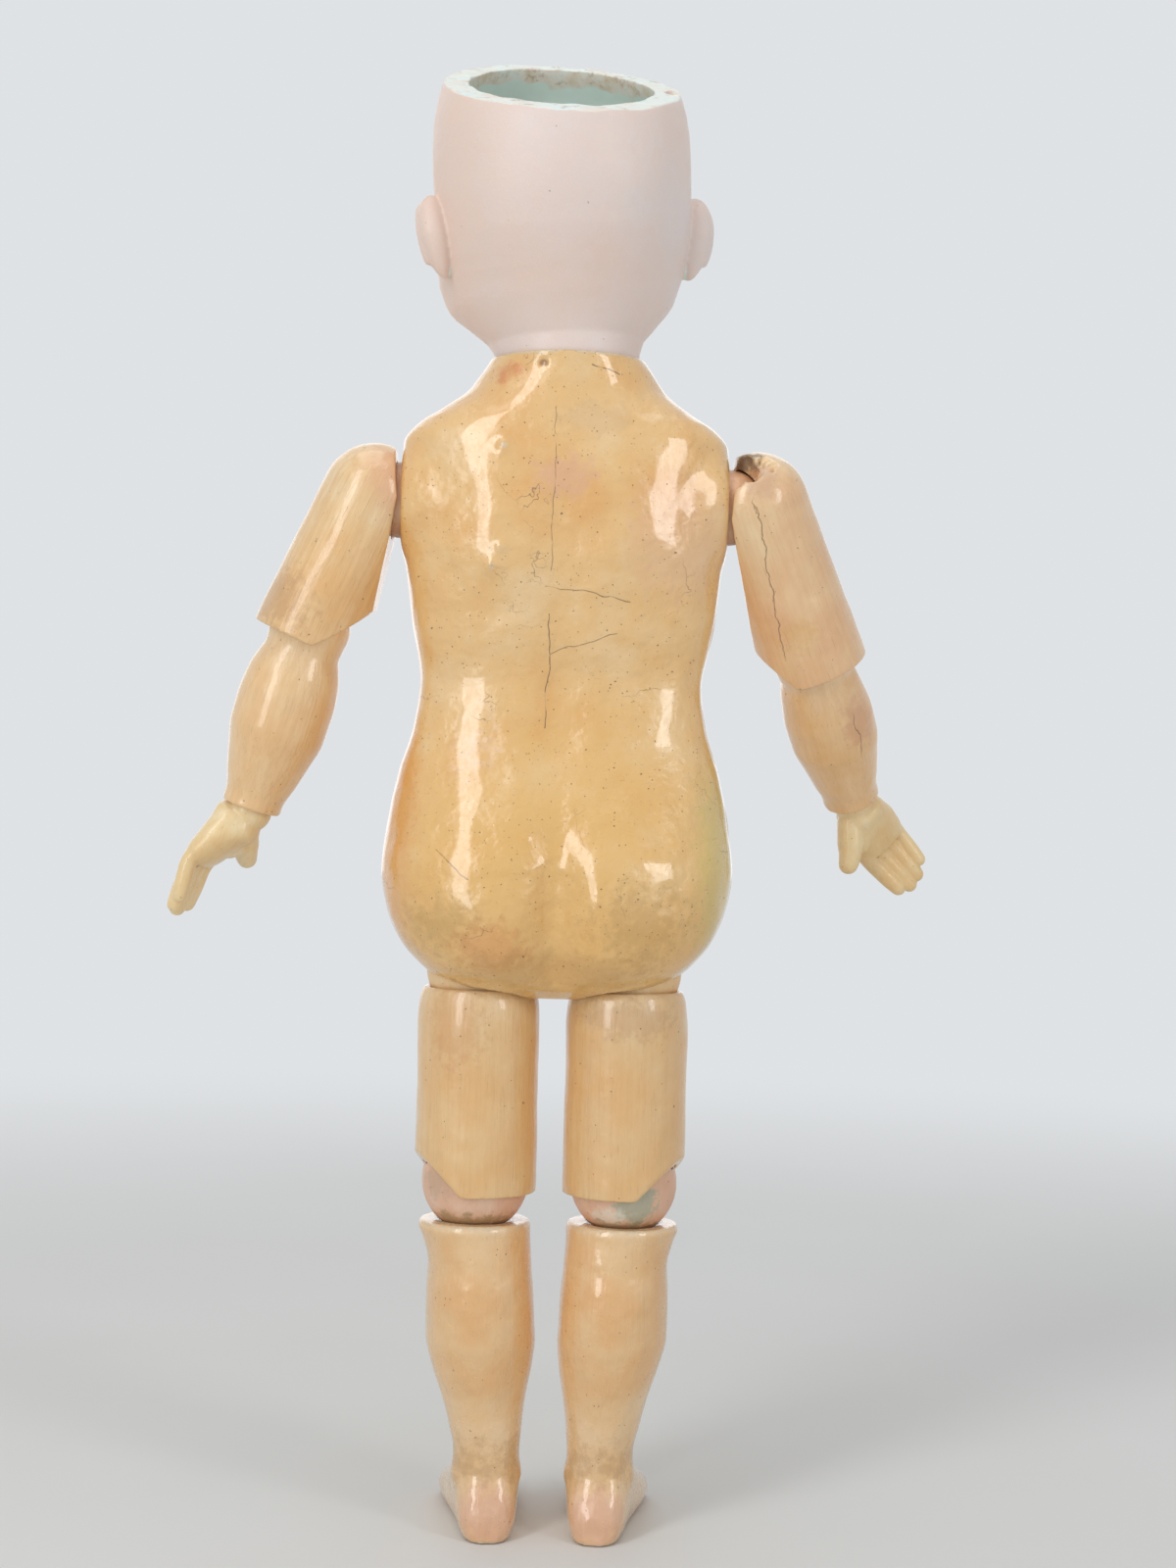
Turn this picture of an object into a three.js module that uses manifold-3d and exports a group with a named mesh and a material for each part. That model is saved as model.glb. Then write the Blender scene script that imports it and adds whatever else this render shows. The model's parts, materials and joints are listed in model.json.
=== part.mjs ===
// A jointed bisque-head doll with an open crown, standing on its bare soles.
// Millimetres, +Z up, the face towards -Y, the doll's left side towards +X.
import * as THREE from "three";
import { mergeVertices } from "three/addons/utils/BufferGeometryUtils.js";
import { ParametricGeometry } from "three/addons/geometries/ParametricGeometry.js";
import Module from "manifold-3d";

// Sizes of the torso.
const torsoBase = 120.5;
const torsoTall = 142.1;
const torsoHalfWide = 39.2;
const torsoFront = 25;
const torsoBack = 26.5;
const torsoWall = 3;
const spineGroove = 1.3;
const seatCleft = 7;
const seamGap = 0.3;

// Sizes of the head.
const neckPivotRise = 0.9;
const neckRound = 16;
const headTall = 76;
const headHalfWide = 28.9;
const headFront = 30.5;
const headBack = 28.5;
const headWall = 3.4;
const crownRise = 61.6;
const earTall = 19;
const earDeep = 11;
const earThick = 8.4;
const eyeRound = 6.4;
const eyeApart = 21;
const eyeRise = 30.5;
const eyeBackset = 16.8;
const eyeDent = 1.2;
const lidWide = 11.6;
const lidTall = 6.6;
const mouthWide = 8.4;
const mouthTall = 2.6;
const mouthRise = 13.6;
const noseOut = 4.2;
const lipOut = 1.3;
const cheekOut = 1.4;
const chinOut = 1.6;
const jawAhead = 7;
const neckHole = 7.6;

// Sizes of the eye works and of the neck fitting.
const rockerWire = 0.7;
const weightTall = 7;
const weightDeep = 5;
const weightWide = 8;
const weightDrop = 14;
const plasterRound = 4.6;
const corkRound = 2.6;
const teethThick = 1.4;
const buttonTop = 5.5;
const hookWire = 1.1;
const hookEye = 3.4;
const hookLong = 20.1;

// Sizes of the arms.
const shoulderInset = 2.7;
const shoulderDrop = 31.9;
const shoulderRound = 8.5;
const armLong = { left: 33.2, right: 38.3 };
const armTopRound = 11.6;
const armEndRound = 12.2;
const armSideset = 6.5;
const armRaise = 1;
const elbowRound = 9.2;
const elbowTab = 3.2;
const elbowNotch = 9.5;
const notchStartShare = { left: -0.2, right: 0.15 };
const forearmLong = 43.5;
const forearmRound = { left: 11, right: 10.4 };
const wristRound = 6.8;
const wristKnob = 5;
const wristRim = 1;
const palmLong = 16.3;
const palmWide = 14;
const palmThick = 8.2;
const fingerLong = 14.8;
const fingerRound = 2;
const fingerCurl = 4.5;
const thumbLong = 9;
const thumbRound = 2.7;

// Sizes of the legs.
const legGap = 5.7;
const hipLift = 6;
const hipRound = 12;
const thighRound = 13.75;
const thighTop = 4.4;
const thighLong = 47.6;
const kneeTab = 2.4;
const kneeNotch = 9.4;
const kneeRound = 12;
const calfRound = 12.5;
const ankleInset = 3.9;
const footFront = 36;
const footHeel = 10.5;
const footHalfWide = 9.2;
const instepTall = 20;

// Sizes of the elastic and its hooks.
const elasticRound = 1.3;
const boreRound = 2.9;
const limbHookWire = 0.7;
const limbHookEye = 2;
const limbHookLong = 9;

// Clearances, and an overrun for cuts.
const fit = 0.35;
const over = 60;
const weld = 0.0001;

// Angles in degrees: how the limbs stand, and how far they may be moved.
const headYaw = 12;
const headRoll = -3.4;
const liftUp = 6;
const liftDown = 12;
const armOut = { left: 24.3, right: 21.8 };
const armAhead = { left: 2, right: 22 };
const elbowBent = { left: 7.5, right: 15.5 };
const elbowNotchTurn = { left: 62, right: 15 };
const handOut = { left: 28, right: 15 };
const handTurn = { left: -15, right: -118 };
const kneeNotchTurn = 75;
const hipBend = 65;
const kneeBend = 62;
const elbowBend = 64;
const crownSlope = 25;
const notchSlope = 49;
const toeOut = 6;
const elasticTilt = 24;

// Face counts.
const ballSides = 14;
const roughSides = 10;
const limbSides = 16;
const bodySides = 32;
const headSides = 28;
const rodSides = 6;
const eyeSides = 14;
const swingSteps = 4;

const wasm = await Module();
wasm.setup();

const radians = THREE.MathUtils.degToRad;

// The closed solid that a geometry's faces enclose.
function solid(geometry) {
  const bare = geometry.clone();
  bare.deleteAttribute("normal");
  bare.deleteAttribute("uv");
  const merged = mergeVertices(bare, weld);
  const corners = merged.index.array;
  const faces = [];
  for (let i = 0; i < corners.length; i += 3) {
    const [a, b, c] = [corners[i], corners[i + 1], corners[i + 2]];
    if (a !== b && b !== c && c !== a) faces.push(a, b, c);
  }
  const vertProperties = merged.attributes.position.array;
  const body = new wasm.Manifold(
    new wasm.Mesh({ numProp: 3, vertProperties, triVerts: new Uint32Array(faces) }),
  );
  if (body.volume() > 0) return body;
  return new wasm.Manifold(
    new wasm.Mesh({ numProp: 3, vertProperties, triVerts: new Uint32Array(faces.reverse()) }),
  );
}

// The faces of a solid as a geometry again.
function skin(body) {
  const mesh = body.getMesh();
  const geometry = new THREE.BufferGeometry();
  geometry.setAttribute("position", new THREE.Float32BufferAttribute(mesh.vertProperties, 3));
  geometry.setIndex(Array.from(mesh.triVerts));
  geometry.computeVertexNormals();
  return geometry;
}

// One named piece. A right-hand piece is its left-hand fellow mirrored in X.
function piece(name, body, look, parent, side = 1) {
  const geometry = skin(body);
  if (side < 0) {
    geometry.scale(-1, 1, 1);
    const corners = geometry.index.array;
    for (let i = 0; i < corners.length; i += 3) {
      [corners[i], corners[i + 1]] = [corners[i + 1], corners[i]];
    }
    geometry.computeVertexNormals();
  }
  const mesh = new THREE.Mesh(geometry, look);
  mesh.name = name;
  parent.add(mesh);
}

function group(name, parent, x, y, z) {
  const made = new THREE.Group();
  made.name = name;
  made.position.set(x, y, z);
  parent.add(made);
  return made;
}

// A loft: each ring gives its point for an angle round it, and the end rings are single points.
// A crowd share over zero sets the points closer together towards -Y.
function loft(rings, sides, crowd = 0) {
  const steps = rings.length - 1;
  return new ParametricGeometry(
    (u, v, point) => {
      const even = ((Math.round(u * sides) % sides) / sides) * 2 * Math.PI;
      point.copy(rings[Math.round(v * steps)](even - crowd * Math.cos(even)));
    },
    sides,
    steps,
  );
}

const tip = (x, y, z) => () => new THREE.Vector3(x, y, z);
const bulge = (value, power) => Math.sign(value) * Math.abs(value) ** power;

// A level ring at height z with its own half width, front depth and back depth.
function oval(x, y, z, halfWide, front, back, power = 1) {
  return (turn) => {
    const across = bulge(Math.cos(turn), power);
    const along = bulge(Math.sin(turn), power);
    return new THREE.Vector3(x + halfWide * across, y + (along < 0 ? front : back) * along, z);
  };
}

const ball = (radius, x, y, z, sides = ballSides) =>
  solid(new THREE.SphereGeometry(radius, sides, sides / 2).rotateX(Math.PI / 2).translate(x, y, z));

// The hollow that a ball of this radius turns in: its flats stay a fit away from the ball.
const cup = (radius, x, y, z, sides = ballSides) =>
  ball((radius + fit) / Math.cos(Math.PI / sides), x, y, z, sides);

// A straight rod, or a cone, from one point to another.
function rod(from, to, radius, endRadius = radius, sides = 10) {
  const along = new THREE.Vector3().subVectors(to, from);
  const bar = new THREE.CylinderGeometry(endRadius, radius, along.length(), sides);
  const turn = new THREE.Quaternion().setFromUnitVectors(
    new THREE.Vector3(0, 1, 0),
    along.clone().normalize(),
  );
  const middle = new THREE.Vector3().addVectors(from, to).multiplyScalar(0.5);
  return solid(bar.applyQuaternion(turn).translate(middle.x, middle.y, middle.z));
}

// A round cord or wire along a smooth path.
function cord(points, radius, steps, sides = rodSides) {
  const section = new THREE.Shape().absarc(0, 0, radius, 0, 2 * Math.PI);
  const extrudePath = new THREE.CatmullRomCurve3(points);
  return solid(
    new THREE.ExtrudeGeometry(section, { steps, curveSegments: sides / 2, extrudePath }),
  );
}

const at = (x, y, z) => new THREE.Vector3(x, y, z);
const block = (x0, x1, y0, y1, z0, z1) =>
  new THREE.BoxGeometry(x1 - x0, y1 - y0, z1 - z0).translate(
    (x0 + x1) / 2,
    (y0 + y1) / 2,
    (z0 + z1) / 2,
  );

const smooth = (low, high, value) => THREE.MathUtils.smoothstep(value, low, high);
const bell = (offset, width) => Math.exp(-((offset / width) ** 2));

// The look of each kind of piece.
const look = (color, roughness, metalness = 0) =>
  new THREE.MeshStandardMaterial({ color, roughness, metalness });
const bisqueLook = look("#d7bcb2", 0.55);
const torsoLook = look("#dca869", 0.3);
const limbLook = look("#dfae82", 0.35);
const shinLook = look("#dda87a", 0.35);
const handLook = look("#dcb788", 0.5);
const ballLook = look("#d9a698", 0.45);
const woodLook = look("#b98f62", 0.8);
const glassLook = look("#e9e4da", 0.08);
const plasterLook = look("#e8e2d4", 0.95);
const corkLook = look("#a97c50", 0.95);
const leadLook = look("#6d6e70", 0.6, 0.7);
const steelLook = look("#8d8c8a", 0.4, 1);
const teethLook = look("#f1ede2", 0.25);
const elasticLook = look("#d9d2c3", 0.9);

const doll = new THREE.Group();
doll.name = "doll";
const frame = group("frame", doll, 0, 0, 0);

// The torso: two moulded half shells that meet at the side seams, with their socket cups.
// Each row: height, half width, front depth and back depth as shares of the torso's sizes.
const torsoShares = [
  [0.0, 0.3, 0.2, 0.42],
  [0.018, 0.615, 0.42, 0.68],
  [0.051, 0.781, 0.62, 0.87],
  [0.088, 0.893, 0.76, 0.96],
  [0.134, 0.962, 0.88, 1.0],
  [0.196, 1.0, 0.96, 0.98],
  [0.257, 0.974, 1.0, 0.86],
  [0.348, 0.913, 0.98, 0.64],
  [0.424, 0.832, 0.88, 0.52],
  [0.489, 0.799, 0.8, 0.49],
  [0.577, 0.857, 0.86, 0.6],
  [0.644, 0.885, 0.9, 0.68],
  [0.707, 0.911, 0.92, 0.72],
  [0.799, 0.916, 0.9, 0.72],
  [0.866, 0.923, 0.86, 0.69],
  [0.894, 0.85, 0.84, 0.66],
  [0.915, 0.732, 0.82, 0.64],
  [0.946, 0.575, 0.76, 0.63],
  [0.978, 0.49, 0.71, 0.635],
  [1.0, 0.439, 0.688, 0.649],
];

// The torso's surface, moved in by a wall where asked, with the spine's groove and the seat's cleft.
function torsoRing(row, inset) {
  const [rise, wide, front, back] = row;
  const round = rise > 0.93 ? 1 : 0.86;
  const ring = oval(
    0,
    0,
    torsoBase + rise * torsoTall,
    wide * torsoHalfWide - inset,
    front * torsoFront - inset,
    back * torsoBack - inset,
    round,
  );
  const spine = spineGroove * smooth(0.3, 0.42, rise) * (1 - smooth(0.7, 0.85, rise));
  const cleft = seatCleft * (1 - smooth(0.16, 0.34, rise)) * smooth(-0.02, 0.06, rise);
  return (turn) => {
    const point = ring(turn);
    if (point.y > 0) {
      const across = Math.abs(point.x) / torsoHalfWide;
      const most = point.y * 0.6;
      point.y -= Math.min(most, spine * bell(across, 0.14) + cleft * bell(across, 0.11));
    }
    return point;
  };
}

const torsoTop = torsoBase + torsoTall;
const neckZ = torsoTop + neckPivotRise;
const shoulderX = torsoHalfWide - shoulderInset;
const shoulderZ = torsoTop - shoulderDrop;
const hipX = thighRound + legGap / 2;
const hipZ = torsoBase + hipLift;

function torsoShell() {
  const rows = torsoShares.map((row) => torsoRing(row, 0));
  const outer = solid(loft([tip(0, 0, torsoBase), ...rows, tip(0, 0, torsoTop)], bodySides));
  const inner = torsoShares
    .slice(2, -2)
    .filter((row, index) => index % 3 === 0)
    .map((row) => torsoRing(row, torsoWall));
  const lowZ = torsoBase + torsoShares[2][0] * torsoTall;
  const highZ = torsoBase + torsoShares.at(-3)[0] * torsoTall;
  const hollow = solid(loft([tip(0, 0, lowZ), ...inner, tip(0, 0, highZ)], bodySides / 2));
  let body = outer.subtract(hollow);
  // The socket cups stand inside the shell.
  const neckCup = neckRound + fit;
  const shoulderCup = shoulderRound + fit;
  const hipCup = hipRound + fit;
  let cups = ball(neckCup + torsoWall, 0, 0, neckZ, roughSides);
  for (const side of [-1, 1]) {
    cups = cups.add(ball(shoulderCup + torsoWall, side * shoulderX, 0, shoulderZ, roughSides));
    cups = cups.add(ball(hipCup + torsoWall, side * hipX, 0, hipZ, roughSides));
  }
  body = body.add(cups.intersect(outer));
  body = body.subtract(cup(neckRound, 0, 0, neckZ, limbSides));
  // One hole under the neck lets the hook and the elastic through.
  const neckWay = neckHole + hookWire;
  body = body.subtract(rod(at(0, 0, neckZ), at(0, 0, neckZ - neckCup - 2 * torsoWall), neckWay));
  for (const side of [-1, 1]) {
    body = body.subtract(cup(shoulderRound, side * shoulderX, 0, shoulderZ));
    const inside = side * (shoulderX - shoulderCup - 2 * torsoWall);
    body = body.subtract(
      rod(at(side * shoulderX, 0, shoulderZ), at(inside, 0, shoulderZ), boreRound),
    );
    body = body.subtract(cup(hipRound, side * hipX, 0, hipZ));
    const above = hipZ + hipCup + 2 * torsoWall;
    body = body.subtract(rod(at(side * hipX, 0, hipZ), at(side * hipX, 0, above), boreRound));
    // The thigh's rim swings up in front, so the shell is cut back along its way.
    const clear = thighRound + fit;
    for (let step = 0; step <= swingSteps; step += 1) {
      const swing = radians((step / swingSteps) * hipBend);
      const start = thighTop - 2 * fit;
      const down = at(0, -Math.sin(swing), -Math.cos(swing));
      const from = at(side * hipX, 0, hipZ).addScaledVector(down, start);
      const to = at(side * hipX, 0, hipZ).addScaledVector(down, over);
      body = body.subtract(rod(from, to, clear, clear, limbSides));
    }
  }
  return body;
}

const torso = group("torso", frame, 0, 0, 0);
const shell = torsoShell();
const halfGap = seamGap / 2;
piece(
  "torso_front",
  shell.intersect(solid(block(-over, over, -over, -halfGap, 0, torsoTop + over))),
  torsoLook,
  torso,
);
piece(
  "torso_back",
  shell.intersect(solid(block(-over, over, halfGap, over, 0, torsoTop + over))),
  torsoLook,
  torso,
);

// The hook hangs the head on the elastic: its eye is in the torso and its head rests on the button.
const buttonRound = neckRound - headWall - fit;
const eyeDrop = hookLong + hookEye;
const hookHead = at(0, 0, buttonTop + fit);
const neckHook = cord([hookHead, at(0, 0, 0), at(0, 0, -hookLong)], hookWire, 4)
  .add(
    solid(
      new THREE.TorusGeometry(hookEye, hookWire, 6, 12)
        .rotateX(Math.PI / 2)
        .translate(0, 0, -eyeDrop),
    ),
  )
  .add(rod(hookHead, at(0, 0, hookHead.z + hookWire), 3 * hookWire));
piece("neck_hook", neckHook, steelLook, group("hook_place", torso, 0, 0, neckZ));

// A wooden half ball presses the head down into the neck socket and turns with it.
const neck = group("head_turn", frame, 0, 0, neckZ);
neck.rotation.z = radians(headYaw);
const neckButton = ball(buttonRound, 0, 0, 0)
  .intersect(solid(block(-over, over, -over, over, -over, buttonTop)))
  .subtract(rod(at(0, 0, -over), at(0, 0, over), hookWire + fit));
piece("neck_button", neckButton, woodLook, neck);

// The head, hollow and open at the crown.
const head = group("head_nod", neck, 0, 0, 0);
head.rotation.y = -radians(headRoll);
// Each row: height, half width, front depth and back depth as shares of the head's sizes.
const headShares = [
  [0.046, 0.609, 0.505, 0.545],
  [0.104, 0.754, 0.69, 0.6],
  [0.138, 0.837, 0.895, 0.667],
  [0.16, 0.88, 0.93, 0.69],
  [0.184, 0.907, 0.938, 0.72],
  [0.207, 0.928, 0.934, 0.75],
  [0.23, 0.948, 0.928, 0.782],
  [0.253, 0.958, 0.921, 0.812],
  [0.276, 0.969, 0.911, 0.842],
  [0.302, 0.974, 0.903, 0.874],
  [0.329, 0.979, 0.895, 0.905],
  [0.355, 0.983, 0.888, 0.926],
  [0.382, 0.986, 0.885, 0.947],
  [0.408, 0.99, 0.888, 0.965],
  [0.434, 0.993, 0.895, 0.979],
  [0.464, 0.996, 0.918, 0.99],
  [0.493, 0.998, 0.944, 0.996],
  [0.553, 1.0, 0.98, 1.0],
  [0.618, 0.997, 0.997, 0.989],
  [0.684, 0.983, 0.997, 0.961],
  [0.75, 0.948, 0.974, 0.912],
  [0.809, 0.9, 0.928, 0.842],
  [0.868, 0.837, 0.869, 0.754],
  [0.928, 0.754, 0.787, 0.649],
  [0.987, 0.651, 0.689, 0.526],
  [1.04, 0.519, 0.557, 0.386],
];

// How far the face stands out from the plain round of the head.
function faceRelief(x, z) {
  const side = Math.abs(x);
  const nose =
    noseOut * bell(x, 0.12 * headHalfWide) *
    (bell(z - 0.262 * headTall, 0.036 * headTall) + 0.45 * bell(z - 0.33 * headTall, 0.055 * headTall));
  const lips =
    lipOut * bell(x, 0.17 * headHalfWide) *
    (bell(z - mouthRise - 0.8 * mouthTall, 0.6 * mouthTall) +
      bell(z - mouthRise + 0.8 * mouthTall, 0.6 * mouthTall));
  const chin = chinOut * bell(x, 0.24 * headHalfWide) * bell(z - 0.1 * headTall, 0.05 * headTall);
  const cheeks =
    cheekOut * bell(side - 0.48 * headHalfWide, 0.25 * headHalfWide) *
    bell(z - 0.22 * headTall, 0.09 * headTall);
  const sockets =
    eyeDent * bell(side - eyeApart / 2, 0.7 * lidWide) * bell(z - eyeRise, 0.75 * lidTall);
  return nose + lips + chin + cheeks - sockets;
}

function headRing(row, inset) {
  const [rise, wide, front, back] = row;
  const z = rise * headTall;
  // The cheeks and jaw are widest ahead of the neck.
  const ahead = jawAhead * bell(rise - 0.18, 0.13);
  const halfWide = wide * headHalfWide - inset;
  const ring = oval(0, -ahead, z, halfWide, front * headFront - inset - ahead, back * headBack - inset + ahead);
  return (turn) => {
    const point = ring(turn);
    if (point.y < 0 && inset === 0) point.y -= faceRelief(point.x, z) * smooth(0, 0.3, -Math.sin(turn));
    return point;
  };
}

function headLoft(inset, sides, rows) {
  const round = neckRound - inset;
  const rings = [tip(0, 0, -round)];
  for (let turn = 22.5; turn <= 90; turn += 22.5) {
    const out = round * Math.sin(radians(turn));
    rings.push(oval(0, 0, -round * Math.cos(radians(turn)), out, out, out));
  }
  rings.push(...rows.map((row) => headRing(row, inset)));
  rings.push(tip(0, 0, (rows.at(-1)[0] + 0.02) * headTall));
  return solid(loft(rings, sides, 0.5));
}

const innerRows = headShares.filter((row, index) => index % 3 === 0);
const crownCut = solid(
  block(-over, over, -over, over, 0, over).rotateX(-radians(crownSlope)).translate(0, 0, crownRise),
);
const eyeBalls = [-1, 1].map((side) => [side, (side * eyeApart) / 2]);

function bisqueHead() {
  let body = headLoft(0, headSides, headShares);
  for (const side of [-1, 1]) {
    const ear = new THREE.SphereGeometry(1, 10, 8)
      .scale(earThick / 2, earDeep / 2, earTall / 2)
      .rotateY(side * 0.16)
      .rotateZ(-side * 0.5)
      .translate(side * headHalfWide, 0.16 * earDeep, 0.347 * headTall);
    const dip = new THREE.SphereGeometry(1, 8, 6)
      .scale(0.3 * earThick, 0.28 * earDeep, 0.28 * earTall)
      .translate(side * (headHalfWide + 0.45 * earThick), -0.12 * earDeep, 0.362 * headTall);
    body = body.add(solid(ear)).subtract(solid(dip));
  }
  body = body.subtract(headLoft(headWall, headSides / 2, innerRows));
  body = body.subtract(cup(buttonRound, 0, 0, 0));
  for (const [, x] of eyeBalls) {
    const lids = new THREE.SphereGeometry(1, 12, 6)
      .scale(lidWide / 2, 2 * headWall, lidTall / 2)
      .translate(x, -eyeBackset - eyeRound, eyeRise);
    body = body.subtract(solid(lids)).subtract(cup(eyeRound, x, -eyeBackset, eyeRise, eyeSides));
  }
  const mouth = new THREE.SphereGeometry(1, 12, 6)
    .scale(mouthWide / 2, 3 * headWall, mouthTall / 2)
    .translate(0, -headFront, mouthRise);
  body = body.subtract(solid(mouth));
  body = body.subtract(rod(at(0, 0, -over), at(0, 0, 0), neckHole, neckHole, 20));
  return body.subtract(crownCut);
}
piece("bisque_head", bisqueHead(), bisqueLook, head);

// Plaster pads hold the sleeping eyes from their outer sides.
const cavity = headLoft(headWall + fit, headSides / 2, innerRows);
for (const [side, x] of eyeBalls) {
  const pad = ball(plasterRound, x + side * (eyeRound + fit), -eyeBackset, eyeRise, 10)
    .intersect(cavity)
    .subtract(cup(eyeRound, x, -eyeBackset, eyeRise, eyeSides));
  piece(side > 0 ? "eye_plaster_left" : "eye_plaster_right", pad, plasterLook, head);
}
const weightZ = eyeRise - weightDrop;
const weightFront = -eyeBackset - weightDeep / 4;
const corkZ = weightZ + weightTall / 3;
const cork = rod(at(0, -headFront, corkZ), at(0, weightFront - fit, corkZ), corkRound);
piece("eye_cork", cork.intersect(cavity), corkLook, head);
const teethTop = mouthRise + 0.6 * mouthTall;
const teeth = solid(block(-mouthWide / 2, mouthWide / 2, -over, 0, mouthRise - mouthTall / 4, teethTop))
  .intersect(headLoft(headWall + 2 * fit, headSides / 2, innerRows))
  .subtract(headLoft(headWall + 2 * fit + teethThick, headSides / 2, innerRows));
piece("upper_teeth", teeth, teethLook, head);

// The sleeping eyes: two glass balls on a wire rocker with a lead weight below.
const eyes = group("eyes_sleep", head, 0, -eyeBackset, eyeRise);
for (const [side, x] of eyeBalls) {
  piece(side > 0 ? "glass_eye_left" : "glass_eye_right", ball(eyeRound, x, 0, 0, eyeSides), glassLook, eyes);
}
const barY = eyeRound + fit + rockerWire;
const barEnd = eyeApart / 2 + 2 * rockerWire;
const rocker = cord([at(-barEnd, barY, 0), at(0, barY, 0), at(barEnd, barY, 0)], rockerWire, 4, 6).add(
  cord(
    [at(0, barY, 0), at(0, barY, -weightDrop / 2), at(0, weightDeep / 4, -weightDrop + weightTall / 2 + rockerWire)],
    rockerWire,
    5,
    6,
  ),
);
piece("eye_rocker", rocker, steelLook, eyes);
const weight = solid(
  block(
    -weightWide / 2,
    weightWide / 2,
    -weightDeep / 4,
    (3 * weightDeep) / 4,
    -weightDrop - weightTall / 2,
    -weightDrop + weightTall / 2,
  ),
);
piece("eye_weight", weight, leadLook, eyes);

// A slanted notch that lets the next limb fold: flat up to a start, then rising by its slope.
function notch(start, x, rimZ, rise, way) {
  const run = rise / Math.tan(radians(notchSlope));
  const outline = new THREE.Shape([
    new THREE.Vector2(start, rimZ - over),
    new THREE.Vector2(over, rimZ - over),
    new THREE.Vector2(over, rimZ + rise),
    new THREE.Vector2(start + run, rimZ + rise),
    new THREE.Vector2(start, rimZ),
  ]);
  return solid(
    new THREE.ExtrudeGeometry(outline, { depth: 2 * over, bevelEnabled: false })
      .rotateX(Math.PI / 2)
      .translate(0, over, 0)
      .rotateZ(Math.atan2(way.y, way.x))
      .translate(x, 0, 0),
  );
}

// Rings of a turned limb: the top is a half ball, and the rest follows pairs of height and radius.
function limb(x, z, round, pairs) {
  const rings = [tip(x, 0, z + round)];
  for (let turn = 22.5; turn <= 90; turn += 22.5) {
    const out = round * Math.sin(radians(turn));
    rings.push(oval(x, 0, z + round * Math.cos(radians(turn)), out, out, out));
  }
  for (const [height, out] of pairs) rings.push(oval(x, 0, height, out, out, out));
  rings.push(tip(x, 0, pairs.at(-1)[0]));
  return solid(loft(rings, limbSides));
}

// A slot from a joint's centre, between two angles from upright towards a way, that clears the elastic.
function slot(way, low, high, length) {
  const out = elasticRound + 2 * fit;
  const first = Math.PI / 2 - radians(low);
  const last = Math.PI / 2 - radians(high);
  const outline = new THREE.Shape();
  outline.moveTo(0, 0);
  outline.lineTo(length * Math.cos(first), length * Math.sin(first));
  outline.absarc(0, 0, length, first, last, true);
  let cut = solid(
    new THREE.ExtrudeGeometry(outline, { depth: 2 * out, bevelEnabled: false, curveSegments: 3 })
      .translate(0, 0, -out)
      .rotateX(Math.PI / 2)
      .rotateZ(Math.atan2(way.y, way.x)),
  );
  for (const turn of [low, high]) {
    const aside = length * Math.sin(radians(turn));
    const end = at(way.x * aside, way.y * aside, length * Math.cos(radians(turn)));
    cut = cut.add(rod(at(0, 0, 0), end, out / Math.cos(Math.PI / rodSides), undefined, rodSides));
  }
  return cut;
}
const hookRoom = () => ball(limbHookEye + limbHookWire + 2 * fit, 0, 0, 0, 8);

// A wire hook: an eye at the joint's centre and a shank down the limb.
function limbHook(long) {
  const ring = new THREE.TorusGeometry(limbHookEye, limbHookWire, 5, 8).rotateX(Math.PI / 2);
  return solid(ring).add(
    cord(
      [at(0, 0, -limbHookEye), at(0, 0, -limbHookEye - long / 2), at(0, 0, -limbHookEye - long)],
      limbHookWire,
      2,
      6,
    ),
  );
}

const armFace = 0.923 * torsoHalfWide - shoulderX + 2 * fit;
const hookBore = limbHookWire + fit;
const shinSole = -(hipZ - thighLong);

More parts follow.
